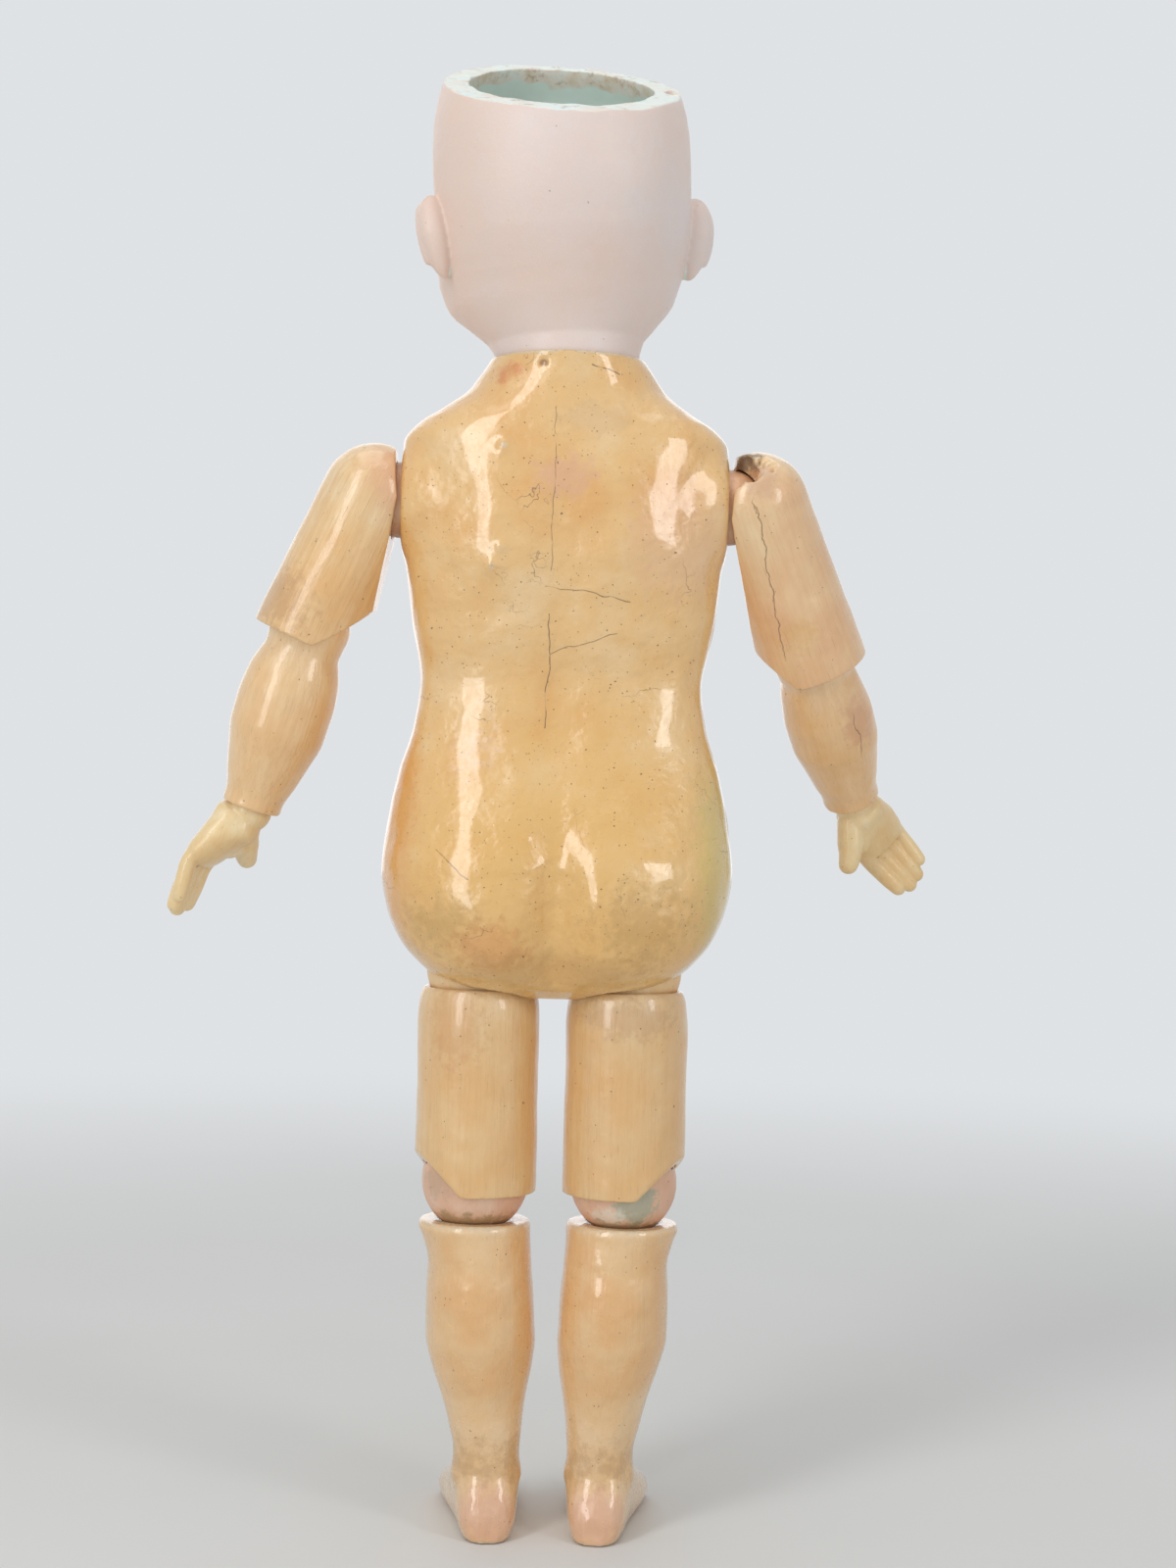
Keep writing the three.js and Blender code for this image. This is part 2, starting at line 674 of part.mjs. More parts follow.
function buildArm(name, side) {
  const swing = group(`shoulder_swing_${name}`, frame, side * shoulderX, 0, shoulderZ);
  swing.rotation.x = -radians(armAhead[name]);
  const reach = shoulderRound + over;
  const elasticWay = 180 - armOut[name] - elasticTilt;
  const shoulderBall = ball(shoulderRound, 0, 0, 0)
    .subtract(rod(at(-reach, 0, 0), at(elasticRound, 0, 0), elasticRound + fit))
    .subtract(slot(at(1, 0, 0), elasticWay - liftUp, elasticWay + liftDown, 1.3 * shoulderRound));
  piece(`shoulder_ball_${name}`, shoulderBall, ballLook, swing, side);

  const lift = group(`arm_lift_${name}`, swing, 0, 0, 0);
  const out = radians(armOut[name]);
  lift.rotation.y = -side * out;
  const x = armSideset * Math.cos(out) + armRaise * Math.sin(out);
  const top = armRaise * Math.cos(out) - armSideset * Math.sin(out);
  const elbowZ = top - armLong[name];
  const rimZ = elbowZ - elbowTab;
  const way = at(-Math.sin(radians(elbowNotchTurn[name])), -Math.cos(radians(elbowNotchTurn[name])), 0);
  const turnZ = -x / Math.tan(radians(elasticTilt));
  let upper = limb(x, top, armTopRound, [
    [top - 0.3 * armLong[name], armTopRound],
    [top - 0.6 * armLong[name], (armTopRound + armEndRound) / 2],
    [elbowZ, armEndRound],
    [rimZ, armEndRound],
  ]);
  for (const bevel of [0, liftUp, -liftDown]) {
    upper = upper.subtract(
      solid(
        block(-over, 0, -over, over, -over, over)
          .rotateY(radians(bevel))
          .translate(armFace, 0, 0)
          .rotateY(out),
      ),
    );
  }
  upper = upper
    .subtract(cup(shoulderRound, 0, 0, 0))
    .subtract(rod(at(0, 0, 0), at(x, 0, turnZ), boreRound))
    .subtract(rod(at(x, 0, turnZ + boreRound), at(x, 0, elbowZ), boreRound))
    .subtract(cup(elbowRound, x, 0, elbowZ))
    .subtract(notch(notchStartShare[name] * armEndRound, x, rimZ, elbowNotch, way));
  piece(`upper_arm_${name}`, upper, limbLook, lift, side);
  const endGap = limbHookEye + limbHookWire + 2 * fit;
  const armElastic = cord(
    [at(x / 5, 0, turnZ / 5), at(x, 0, turnZ), at(x, 0, (turnZ + elbowZ) / 2), at(x, 0, elbowZ + endGap)],
    elasticRound,
    8,
  );
  piece(`arm_elastic_${name}`, armElastic, elasticLook, lift, side);

  const elbow = group(`elbow_bend_${name}`, lift, side * x, 0, elbowZ);
  const axis = at(way.y, -side * way.x, 0);
  elbow.quaternion.setFromAxisAngle(axis, radians(elbowBent[name]));
  const wristZ = -forearmLong;
  const forearm = limb(0, 0, elbowRound, [
    [0.06 * wristZ, 0.96 * elbowRound],
    [0.11 * wristZ, 0.92 * elbowRound],
    [0.17 * wristZ, elbowRound],
    [0.26 * wristZ, 0.94 * forearmRound[name]],
    [0.4 * wristZ, forearmRound[name]],
    [0.54 * wristZ, 0.99 * forearmRound[name]],
    [0.67 * wristZ, 0.89 * forearmRound[name]],
    [0.81 * wristZ, (forearmRound[name] + wristRound) / 2.15],
    [0.94 * wristZ, wristRound],
    [wristZ + wristRim, wristRound],
  ]);
  const forearmBody = forearm
    .subtract(hookRoom())
    .subtract(slot(way, 0, elbowBend, 1.3 * elbowRound))
    .subtract(rod(at(0, 0, 0), at(0, 0, wristZ), elasticRound + fit, elasticRound + fit, 10))
    .subtract(cup(wristKnob, 0, 0, wristZ, 12));
  piece(`forearm_${name}`, forearmBody, limbLook, elbow, side);
  piece(`forearm_hook_${name}`, limbHook(limbHookLong), steelLook, elbow, side);
  const hookEnd = -limbHookEye - limbHookLong;
  const handHookTop = wristZ + wristKnob + limbHookLong / 3;
  piece(
    `wrist_elastic_${name}`,
    rod(at(0, 0, hookEnd - fit), at(0, 0, handHookTop + fit), elasticRound - fit, elasticRound - fit, 8),
    elasticLook,
    elbow,
    side,
  );

  const hand = group(`wrist_turn_${name}`, elbow, 0, 0, wristZ);
  const pose = new THREE.Matrix4().makeRotationFromEuler(
    new THREE.Euler(0, -radians(handOut[name]), radians(handTurn[name]), "YXZ"),
  );
  const wristHook = [at(0, 0, handHookTop - wristZ), at(0, 0, 0), at(0, 0, -wristKnob / 2).applyMatrix4(pose)];
  const handBody = turned(handShape(), pose).subtract(cord(wristHook, hookBore, 6));
  piece(`hand_${name}`, handBody, handLook, hand, side);
  wristHook[2].multiplyScalar(0.8);
  piece(`wrist_hook_${name}`, cord(wristHook, limbHookWire, 6, 6), steelLook, hand, side);
}

function buildLeg(name, side) {
  const swing = group(`hip_swing_${name}`, frame, side * hipX, 0, hipZ);
  const reach = hipRound + over;
  const hipBall = ball(hipRound, 0, 0, 0).subtract(rod(at(0, 0, -reach), at(0, 0, reach), elasticRound + fit));
  piece(`hip_ball_${name}`, hipBall, ballLook, swing, side);

  const turn = group(`thigh_turn_${name}`, swing, 0, 0, 0);
  const rimZ = -thighLong - kneeTab;
  const way = at(Math.sin(radians(kneeNotchTurn)), Math.cos(radians(kneeNotchTurn)), 0);
  const level = (z, out) => oval(0, 0, z, out, out, out);
  const rings = [
    tip(0, 0, -thighTop),
    level(-thighTop, 0.96 * thighRound),
    level(-1.4 * thighTop, thighRound),
    level(-thighLong / 2, 0.985 * thighRound),
    level(-thighLong, thighRound),
    level(rimZ, thighRound),
    tip(0, 0, rimZ),
  ];
  const thigh = solid(loft(rings, limbSides))
    .subtract(cup(hipRound, 0, 0, 0))
    .subtract(rod(at(0, 0, 0), at(0, 0, -thighLong), boreRound))
    .subtract(cup(kneeRound, 0, 0, -thighLong))
    .subtract(notch(0.44 * thighRound, 0, rimZ, kneeNotch, way));
  piece(`thigh_${name}`, thigh, limbLook, turn, side);
  const endGap = limbHookEye + limbHookWire + 2 * fit;
  const stretch = [at(0, 0, hipRound - fit), at(0, 0, -thighLong / 2), at(0, 0, -thighLong + endGap)];
  piece(`leg_elastic_${name}`, cord(stretch, elasticRound, 2), elasticLook, turn, side);

  const knee = group(`knee_bend_${name}`, turn, 0, 0, -thighLong);
  const kneeBall = ball(kneeRound, 0, 0, 0)
    .subtract(hookRoom())
    .subtract(slot(way, 0, kneeBend, 1.3 * kneeRound))
    .subtract(rod(at(0, 0, 0), at(0, 0, -reach), hookBore, hookBore, rodSides));
  piece(`knee_ball_${name}`, kneeBall, ballLook, knee, side);

  const shin = group(`shin_turn_${name}`, knee, 0, 0, 0);
  shin.rotation.z = side * radians(toeOut);
  // Each row: height, sideways shift, half width, front and back as shares of the shin's sizes.
  const shinShares = [
    [0.112, 0.0, 0.97, 0.97, 0.97],
    [0.128, 0.0, 1.01, 1.01, 1.01],
    [0.155, -0.1, 0.98, 0.98, 0.99],
    [0.23, -0.34, 0.94, 0.92, 1.02],
    [0.3, -0.38, 0.965, 0.9, 1.08],
    [0.37, -0.41, 0.98, 0.88, 1.1],
    [0.44, -0.47, 0.985, 0.85, 1.06],
    [0.525, -0.59, 0.9, 0.79, 0.93],
    [0.62, -0.77, 0.75, 0.7, 0.77],
    [0.68, -0.87, 0.68, 0.64, 0.69],
    [0.76, -1.0, 0.605, 0.6, 0.63],
    [0.83, -1.0, 0.585, 0.6, 0.62],
    [0.9, -1.0, 0.54, 0.56, 0.6],
  ];
  const tall = -shinSole;
  const shinRings = shinShares.map(([drop, shift, wide, front, back]) =>
    oval(shift * ankleInset, 0, -drop * tall, wide * calfRound, front * calfRound, back * calfRound),
  );
  const shinTop = -shinShares[0][0] * tall;
  const shinEnd = -shinShares.at(-1)[0] * tall;
  const calf = solid(
    loft([tip(0, 0, shinTop), ...shinRings, tip(-ankleInset, 0, shinEnd)], limbSides),
  );
  const shinBody = calf
    .add(footShape(-ankleInset, shinSole))
    .subtract(cup(kneeRound, 0, 0, 0))
    .subtract(rod(at(0, 0, 0), at(0, 0, -kneeRound - 1.2 * limbHookLong), hookBore, hookBore, 10));
  piece(`lower_leg_${name}`, shinBody, shinLook, shin, side);
  piece(`leg_hook_${name}`, limbHook(kneeRound - limbHookEye + limbHookLong), steelLook, shin, side);
}

// A bare foot: rows of place along it, half width and top height, flat below.
function footShape(x, sole) {
  // Each row: place from toe (0) to heel (1), half width and height as shares of the foot's sizes.
  const footShares = [
    [0.0, 0.42, 0.2],
    [0.035, 0.72, 0.3],
    [0.12, 0.93, 0.38],
    [0.24, 1.0, 0.46],
    [0.38, 0.98, 0.6],
    [0.52, 0.9, 0.78],
    [0.66, 0.83, 1.0],
    [0.8, 0.78, 1.05],
    [0.91, 0.7, 0.8],
    [0.975, 0.5, 0.5],
    [1.0, 0.25, 0.3],
  ];
  const long = footFront + footHeel;
  const ring = ([place, wide, tall]) => {
    const y = place * long - footFront;
    const high = tall * instepTall;
    const belly = 0.38 * high;
    return (turn) => {
      const up = Math.sin(turn);
      const rise = up > 0 ? belly + (high - belly) * up : belly * (1 - Math.min(1, -1.4 * up));
      return at(x + wide * footHalfWide * bulge(Math.cos(turn), 0.85), y, sole + rise);
    };
  };
  const rings = footShares.map(ring);
  const first = at(x, -footFront, sole + 0.08 * instepTall);
  const last = at(x, footHeel, sole + 0.12 * instepTall);
  return solid(loft([() => first, ...rings, () => last], 14));
}

// A moulded hand: palm towards the body, thumb to the front, fingers a little curled.
function handShape() {
  // Each row: height, half thickness and half width as shares of the palm's sizes.
  const palmShares = [
    [0.12, 0.62, 0.36],
    [0.22, 0.78, 0.42],
    [0.42, 0.56, 0.47],
    [0.62, 0.52, 0.5],
    [0.84, 0.48, 0.5],
    [1.0, 0.4, 0.47],
  ];
  const palmRings = palmShares.map(([drop, thick, wide]) =>
    oval(0, 0, -drop * palmLong, thick * palmThick, wide * palmWide, wide * palmWide, 0.9),
  );
  let body = solid(
    loft(
      [tip(0, 0, -palmShares[0][0] * palmLong), ...palmRings, tip(0, 0, -1.04 * palmLong)],
      12,
    ),
  ).add(ball(wristKnob, 0, 0, 0, 12));
  // Each row: place across the palm and length as shares.
  const fingerShares = [
    [-0.37, 0.88],
    [-0.125, 1.0],
    [0.125, 0.94],
    [0.36, 0.74],
  ];
  for (const [place, length] of fingerShares) {
    const y = place * palmWide;
    const rings = [0, 0.4, 0.8, 1].map((along) => {
      const out = fingerRound * (1 - 0.14 * along) * (along === 1 ? 0.7 : 1);
      const curl = -fingerCurl * along ** 2 * 0.8;
      return oval(curl, y * (1 - 0.2 * along), -0.86 * palmLong - along * length * fingerLong, out, out, out);
    });
    const end = -0.86 * palmLong - length * fingerLong - 0.35 * fingerRound;
    rings.unshift(tip(0, y, -0.84 * palmLong));
    rings.push(tip(-0.8 * fingerCurl, 0.8 * y, end));
    body = body.add(solid(loft(rings, rodSides)));
  }
  const thumbRings = [0, 0.5, 0.85, 1].map((along) => {
    const out = thumbRound * (1 - 0.2 * along) * (along === 1 ? 0.7 : 1);
    const x = -0.2 * palmThick - along * 0.35 * palmThick;
    const y = -(0.36 + 0.42 * along) * palmWide;
    return oval(x, y, -0.36 * palmLong - along * thumbLong, out, out, out);
  });
  thumbRings.unshift(tip(-0.2 * palmThick, -0.36 * palmWide, -0.3 * palmLong));
  thumbRings.push(tip(-0.55 * palmThick, -0.78 * palmWide, -0.36 * palmLong - thumbLong - 0.4 * thumbRound));
  return body.add(solid(loft(thumbRings, rodSides)));
}

// A solid turned by a matrix.
const turned = (body, matrix) => solid(skin(body).applyMatrix4(matrix));

for (const [name, side] of [
  ["left", 1],
  ["right", -1],
]) {
  buildArm(name, side);
  buildLeg(name, side);
}

// The elastic inside the torso: one length between the shoulders, and one that hangs both legs on the hook.
const armSpan = shoulderX - elasticRound;
piece(
  "arm_elastic_torso",
  rod(at(-armSpan, 0, shoulderZ), at(armSpan, 0, shoulderZ), elasticRound, elasticRound, rodSides),
  elasticLook,
  torso,
);
const hookZ = neckZ - eyeDrop;
const legTop = hipZ + hipRound + 2 * fit;
const halfLeg = [
  at(hipX, 0, legTop),
  at(0.95 * hipX, 0, legTop + torsoTall / 12),
  at(0.4 * hipX, -1.6 * hookEye, (legTop + hookZ) / 2),
  at(hookEye, -1.6 * hookEye, hookZ - 2 * hookEye),
  at(0.3 * hookWire, -0.95 * hookEye, hookZ - 0.4 * hookEye),
];
const mirror = halfLeg.map((point) => at(-point.x, -point.y, point.z)).reverse();
piece(
  "leg_elastic_torso",
  cord([...halfLeg, at(0, 0, hookZ), ...mirror], elasticRound, 26),
  elasticLook,
  torso,
);

// The origin is on the ground, under the middle of the doll.
doll.updateMatrixWorld(true);
const bounds = new THREE.Box3().setFromObject(doll, true);
frame.position.set(-(bounds.min.x + bounds.max.x) / 2, -(bounds.min.y + bounds.max.y) / 2, -bounds.min.z);

export default doll;
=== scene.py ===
import json
import math
import random

import bmesh
import bpy
import numpy as np
from mathutils import Euler, Matrix, Vector, noise
from mathutils.bvhtree import BVHTree


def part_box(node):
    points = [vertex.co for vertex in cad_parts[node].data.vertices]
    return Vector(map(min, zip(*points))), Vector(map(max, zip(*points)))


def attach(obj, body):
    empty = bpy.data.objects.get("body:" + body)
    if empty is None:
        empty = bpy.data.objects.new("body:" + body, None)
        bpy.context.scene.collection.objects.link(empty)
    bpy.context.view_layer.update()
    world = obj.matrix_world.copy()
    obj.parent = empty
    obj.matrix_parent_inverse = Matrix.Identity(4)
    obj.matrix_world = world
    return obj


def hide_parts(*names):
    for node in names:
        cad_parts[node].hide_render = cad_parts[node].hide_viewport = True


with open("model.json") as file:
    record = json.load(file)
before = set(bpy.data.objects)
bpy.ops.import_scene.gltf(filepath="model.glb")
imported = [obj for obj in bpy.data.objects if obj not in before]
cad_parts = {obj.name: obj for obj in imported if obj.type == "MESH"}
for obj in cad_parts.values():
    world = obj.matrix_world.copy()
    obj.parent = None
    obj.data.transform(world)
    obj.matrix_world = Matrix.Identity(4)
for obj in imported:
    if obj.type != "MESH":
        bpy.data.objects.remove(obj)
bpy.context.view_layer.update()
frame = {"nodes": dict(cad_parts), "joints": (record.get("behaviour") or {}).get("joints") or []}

pivots = {joint["name"]: Vector(joint["pos_m"]) * 1000 for joint in frame["joints"]}
sides = {"left": 1, "right": -1}

# Shapes are made in millimetres and brought to metres when a piece is put in its place.


def rad(degrees):
    return math.radians(degrees)


def ease(low, high, value):
    t = np.clip((value - low) / (high - low), 0, 1)
    return t * t * (3 - 2 * t)


def bell(offset, width):
    return np.exp(-((offset / width) ** 2))


def throughRows(rows, count):  # a smooth curve through rows that never leaves their range
    rows = np.array(rows, float)
    x, y = rows[:, 0], rows[:, 1:]
    step = np.diff(x)[:, None]
    slope = np.diff(y, axis=0) / step
    tangent = np.zeros_like(y)
    same = slope[:-1] * slope[1:] > 0
    both = np.where(same, slope[:-1] + slope[1:], 1)
    tangent[1:-1] = np.where(same, 2 * slope[:-1] * slope[1:] / both, 0)
    tangent[0], tangent[-1] = slope[0], slope[-1]
    at = np.linspace(x[0], x[-1], count)
    i = np.clip(np.searchsorted(x, at, side="right") - 1, 0, len(x) - 2)
    h = step[i]
    t = ((at - x[i]) / step[i, 0])[:, None]
    made = (
        y[i] * (2 * t**3 - 3 * t**2 + 1)
        + tangent[i] * h * (t**3 - 2 * t**2 + t)
        + y[i + 1] * (3 * t**2 - 2 * t**3)
        + tangent[i + 1] * h * (t**3 - t**2)
    )
    return np.column_stack([at, made])


def turns(count):
    return np.arange(count) / count * 2 * math.pi


def oval(x, y, z, halfWide, front, back, power=1.0, count=96):
    turn = turns(count)
    across = np.sign(np.cos(turn)) * np.abs(np.cos(turn)) ** power
    along = np.sign(np.sin(turn)) * np.abs(np.sin(turn)) ** power
    deep = np.where(along < 0, front, back)
    return np.column_stack([x + halfWide * across, y + deep * along, np.full(count, float(z))])


def solidOf(name, points, faces):
    mesh = bpy.data.meshes.new(name)
    mesh.from_pydata([tuple(p) for p in points], [], faces)
    bm = bmesh.new()
    bm.from_mesh(mesh)
    bmesh.ops.remove_doubles(bm, verts=bm.verts, dist=1e-5)
    bmesh.ops.recalc_face_normals(bm, faces=bm.faces)
    bm.to_mesh(mesh)
    bm.free()
    made = bpy.data.objects.new(name, mesh)
    bpy.context.scene.collection.objects.link(made)
    return made


def loft(name, rings, first, last):  # rings of equal count, closed by a point at each end
    count = len(rings[0])
    points = [first] + [p for ring in rings for p in ring] + [last]
    faces = [(0, 1 + (i + 1) % count, 1 + i) for i in range(count)]
    for r in range(len(rings) - 1):
        a, b = 1 + r * count, 1 + (r + 1) * count
        faces += [(a + i, a + (i + 1) % count, b + (i + 1) % count, b + i) for i in range(count)]
    top, end = 1 + (len(rings) - 1) * count, len(points) - 1
    faces += [(end, top + i, top + (i + 1) % count) for i in range(count)]
    return solidOf(name, points, faces)


def spun(name, profile, x=0.0, y=0.0, count=96):  # pairs of height and radius, turned about Z
    rings = [oval(x, y, z, r, r, r, 1.0, count) for z, r in profile]
    return loft(name, rings, (x, y, profile[0][0]), (x, y, profile[-1][0]))


def ballOf(radius, centre=(0, 0, 0), stretch=(1, 1, 1), count=64):
    arcs = np.linspace(0, math.pi, count // 2 + 1)[1:-1]
    rings = [oval(0, 0, -radius * math.cos(a), *[radius * math.sin(a)] * 3, 1.0, count) for a in arcs]
    made = loft("ball", rings, (0, 0, -radius), (0, 0, radius))
    made.data.transform(Matrix.Translation(centre) @ Matrix.Diagonal((*stretch, 1)))
    return made


def rodOf(start, end, radius, endRadius=None, count=40):
    start, end = Vector(start), Vector(end)
    endRadius = radius if endRadius is None else endRadius
    long = (end - start).length
    made = spun("rod", [(0, radius), (long, endRadius)], count=count)
    turn = (end - start).to_track_quat("Z", "Y").to_matrix().to_4x4()
    made.data.transform(Matrix.Translation(start) @ turn)
    return made


def blockOf(low, high):
    (x0, y0, z0), (x1, y1, z1) = low, high
    points = [(x, y, z) for x in (x0, x1) for y in (y0, y1) for z in (z0, z1)]
    faces = [(0, 1, 3, 2), (4, 6, 7, 5), (0, 4, 5, 1), (2, 3, 7, 6), (0, 2, 6, 4), (1, 5, 7, 3)]
    return solidOf("block", points, faces)


def tubeOf(path, radii, count=24, rounded=True):  # a round tube along points, with its own radius at each
    path = [Vector(p) for p in path]
    rings, side = [], None
    for i, here in enumerate(path):
        way = (path[min(i + 1, len(path) - 1)] - path[max(i - 1, 0)]).normalized()
        side = (side - way * side.dot(way)).normalized() if side else way.orthogonal().normalized()
        other = way.cross(side)
        turn = turns(count)
        rings.append([here + (side * math.cos(a) + other * math.sin(a)) * radii[i] for a in turn])
    if rounded:  # domed ends
        for end, first in ((0, True), (-1, False)):
            way = (path[0] - path[1] if first else path[-1] - path[-2]).normalized()
            middle, ring = path[end], list(rings[end])
            for a in (30, 55, 75):
                tip = way * radii[end] * math.sin(rad(a))
                out = [middle + (p - middle) * math.cos(rad(a)) + tip for p in ring]
                rings.insert(0, out) if first else rings.append(out)
        tips = (path[0] + (path[0] - path[1]).normalized() * radii[0],
                path[-1] + (path[-1] - path[-2]).normalized() * radii[-1])
    else:
        tips = (path[0], path[-1])
    return loft("tube", rings, tips[0], tips[1])


def curveThrough(points, steps):  # a smooth path through a few points
    points = np.array(points, float)
    t = np.arange(len(points), dtype=float)
    return throughRows(np.column_stack([t, points]), steps)[:, 1:]


def freshMesh(made):
    depsgraph = bpy.context.evaluated_depsgraph_get()
    mesh = bpy.data.meshes.new_from_object(made.evaluated_get(depsgraph))
    old = made.data
    made.modifiers.clear()
    made.data = mesh
    bpy.data.meshes.remove(old)
    return made


def combine(body, tool, way="DIFFERENCE"):
    cut = body.modifiers.new("cut", "BOOLEAN")
    cut.operation, cut.solver, cut.object = way, "MANIFOLD", tool
    freshMesh(body)
    bpy.data.objects.remove(tool)
    return body


def carve(body, *tools):
    for tool in tools:
        combine(body, tool)
    return body


def addTo(body, *others):
    for other in others:
        combine(body, other, "UNION")
    return body


def soften(body, voxel, rounds):  # one fine skin whose edges are rounded like thick paint
    grid = body.modifiers.new("grid", "REMESH")
    grid.mode, grid.voxel_size, grid.use_smooth_shade = "VOXEL", voxel, True
    even = body.modifiers.new("even", "SMOOTH")
    even.factor, even.iterations = 0.5, rounds
    return freshMesh(body)


def pointsOf(body):
    count = len(body.data.vertices)
    points, normals = np.empty(count * 3), np.empty(count * 3)
    body.data.vertices.foreach_get("co", points)
    body.data.vertices.foreach_get("normal", normals)
    return points.reshape(-1, 3), normals.reshape(-1, 3)


def setPoints(body, points):
    body.data.vertices.foreach_set("co", np.ascontiguousarray(points).ravel())
    body.data.update()


def waver(points, size, amount, seed):  # slow unevenness of a hand-finished surface
    shift = Vector((seed * 7.3, seed * 3.1, seed * 5.7))
    return np.array([noise.noise(Vector(p) / size + shift) for p in points]) * amount


def setMask(body, name, values):
    layer = body.data.attributes.new(name, "FLOAT", "POINT")
    layer.data.foreach_set("value", np.clip(values, 0, 1).astype(np.float32))


def markEdges(body, reach):  # how far each point stands out from, or lies below, what is round it
    points, normals = pointsOf(body)
    links = np.empty(len(body.data.edges) * 2, int)
    body.data.edges.foreach_get("vertices", links)
    a, b = links[::2], links[1::2]
    count = np.bincount(np.concatenate([a, b]), minlength=len(points))[:, None]

    def around(values):
        total = np.zeros_like(values)
        for column in range(values.shape[1]):
            total[:, column] = np.bincount(a, values[b, column], len(points))
            total[:, column] += np.bincount(b, values[a, column], len(points))
        return total / count

    mean = points
    for _ in range(reach):
        mean = around(mean)
    stand = np.sum((points - mean) * normals, axis=1)[:, None]
    for _ in range(2):
        stand = around(stand)
    setMask(body, "edge", stand[:, 0] * 5)
    setMask(body, "hollow", -stand[:, 0] * 5)


def place(body, name, matrix, bodyName, nodes, material, side=1):
    body.data.transform(Matrix.Diagonal((side, 1, 1, 1)))
    if side < 0:
        body.data.flip_normals()
    own, _ = pointsOf(body)  # the finish is laid out in the piece's own millimetres
    layer = body.data.attributes.new("own", "FLOAT_VECTOR", "POINT")
    layer.data.foreach_set("vector", own.astype(np.float32).ravel())
    body.data.transform(Matrix.Scale(0.001, 4) @ matrix)
    body.data.polygons.foreach_set("use_smooth", [True] * len(body.data.polygons))
    body.data.materials.clear()
    body.data.materials.append(material)
    body.name = body.data.name = name
    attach(body, bodyName)
    if nodes:
        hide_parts(*nodes)
    return body


# Shader nodes: small helpers, then the effects that several finishes share.
def link(tree, value, socket):
    if isinstance(value, bpy.types.NodeSocket):
        tree.links.new(value, socket)
    else:
        socket.default_value = value


def calc(tree, operation, *values, clamp=False):
    node = tree.nodes.new("ShaderNodeMath")
    node.operation, node.use_clamp = operation, clamp
    for i, value in enumerate(values):
        link(tree, value, node.inputs[i])
    return node.outputs[0]


def aim(tree, operation, *values):
    node = tree.nodes.new("ShaderNodeVectorMath")
    node.operation = operation
    for i, value in enumerate(values):
        link(tree, value, node.inputs[i])
    return node.outputs["Value"] if operation in ("LENGTH", "DISTANCE", "DOT_PRODUCT") else node.outputs[0]


def between(tree, value, low, high, start=0.0, end=1.0):
    node = tree.nodes.new("ShaderNodeMapRange")
    node.interpolation_type = "SMOOTHSTEP"
    for i, one in enumerate((value, low, high, start, end)):
        link(tree, one, node.inputs[i])
    return node.outputs[0]


def noiseOf(tree, vector, scale, detail=2.0, roughness=0.5):
    node = tree.nodes.new("ShaderNodeTexNoise")
    link(tree, vector, node.inputs["Vector"])
    link(tree, scale, node.inputs["Scale"])
    node.inputs["Detail"].default_value = detail
    node.inputs["Roughness"].default_value = roughness
    return node.outputs[0]


def cellsOf(tree, vector, scale, feature="F1"):
    node = tree.nodes.new("ShaderNodeTexVoronoi")
    node.feature = feature
    link(tree, vector, node.inputs["Vector"])
    link(tree, scale, node.inputs["Scale"])
    return node


def over(tree, mask, below, above):
    node = tree.nodes.new("ShaderNodeMix")
    node.data_type = "RGBA"
    link(tree, mask, node.inputs[0])
    link(tree, below, node.inputs[6])
    link(tree, above, node.inputs[7])
    return node.outputs[2]


def times(tree, value, share):
    return calc(tree, "MULTIPLY", value, share)


def layer(tree, tone, mask, strength, tint):
    return over(tree, times(tree, mask, strength), tone, tint)


def colour(red, green, blue):  # a colour as seen on screen, 0 to 255
    def one(value):
        share = value / 255
        return share / 12.92 if share <= 0.04045 else ((share + 0.055) / 1.055) ** 2.4
    return (one(red), one(green), one(blue), 1.0)


def newGroup(name, inputs, outputs):
    tree = bpy.data.node_groups.new(name, "ShaderNodeTree")
    for label, kind, value in inputs:
        socket = tree.interface.new_socket(name=label, in_out="INPUT", socket_type=kind)
        if value is not None:
            socket.default_value = value
    for label, kind in outputs:
        tree.interface.new_socket(name=label, in_out="OUTPUT", socket_type=kind)
    start, end = tree.nodes.new("NodeGroupInput"), tree.nodes.new("NodeGroupOutput")
    return tree, start.outputs, end.inputs


def useGroup(tree, group, **values):
    node = tree.nodes.new("ShaderNodeGroup")
    node.node_tree = group
    for label, value in values.items():
        link(tree, value, node.inputs[label])
    return node.outputs


number, vectorKind, colourKind = "NodeSocketFloat", "NodeSocketVector", "NodeSocketColor"


def makeHandTone():  # three close tones of brushed-on paint
    inputs = [("Vector", vectorKind, None), ("Scale", number, 0.05), ("Base", colourKind, None),
              ("Warm", colourKind, None), ("Pale", colourKind, None), ("Contrast", number, 1.0)]
    tree, a, end = newGroup("handTone", inputs, [("Color", colourKind)])
    slow = noiseOf(tree, a["Vector"], a["Scale"], 3, 0.6)
    fine = noiseOf(tree, a["Vector"], times(tree, a["Scale"], 9), 3, 0.7)
    warm = times(tree, between(tree, slow, 0.45, 0.75), a["Contrast"])
    pale = times(tree, between(tree, slow, 0.5, 0.28), a["Contrast"])
    tone = over(tree, warm, a["Base"], a["Warm"])
    tone = over(tree, pale, tone, a["Pale"])
    speckle = times(tree, between(tree, fine, 0.55, 0.8), times(tree, a["Contrast"], 0.3))
    tree.links.new(over(tree, speckle, tone, a["Warm"]), end["Color"])
    return tree


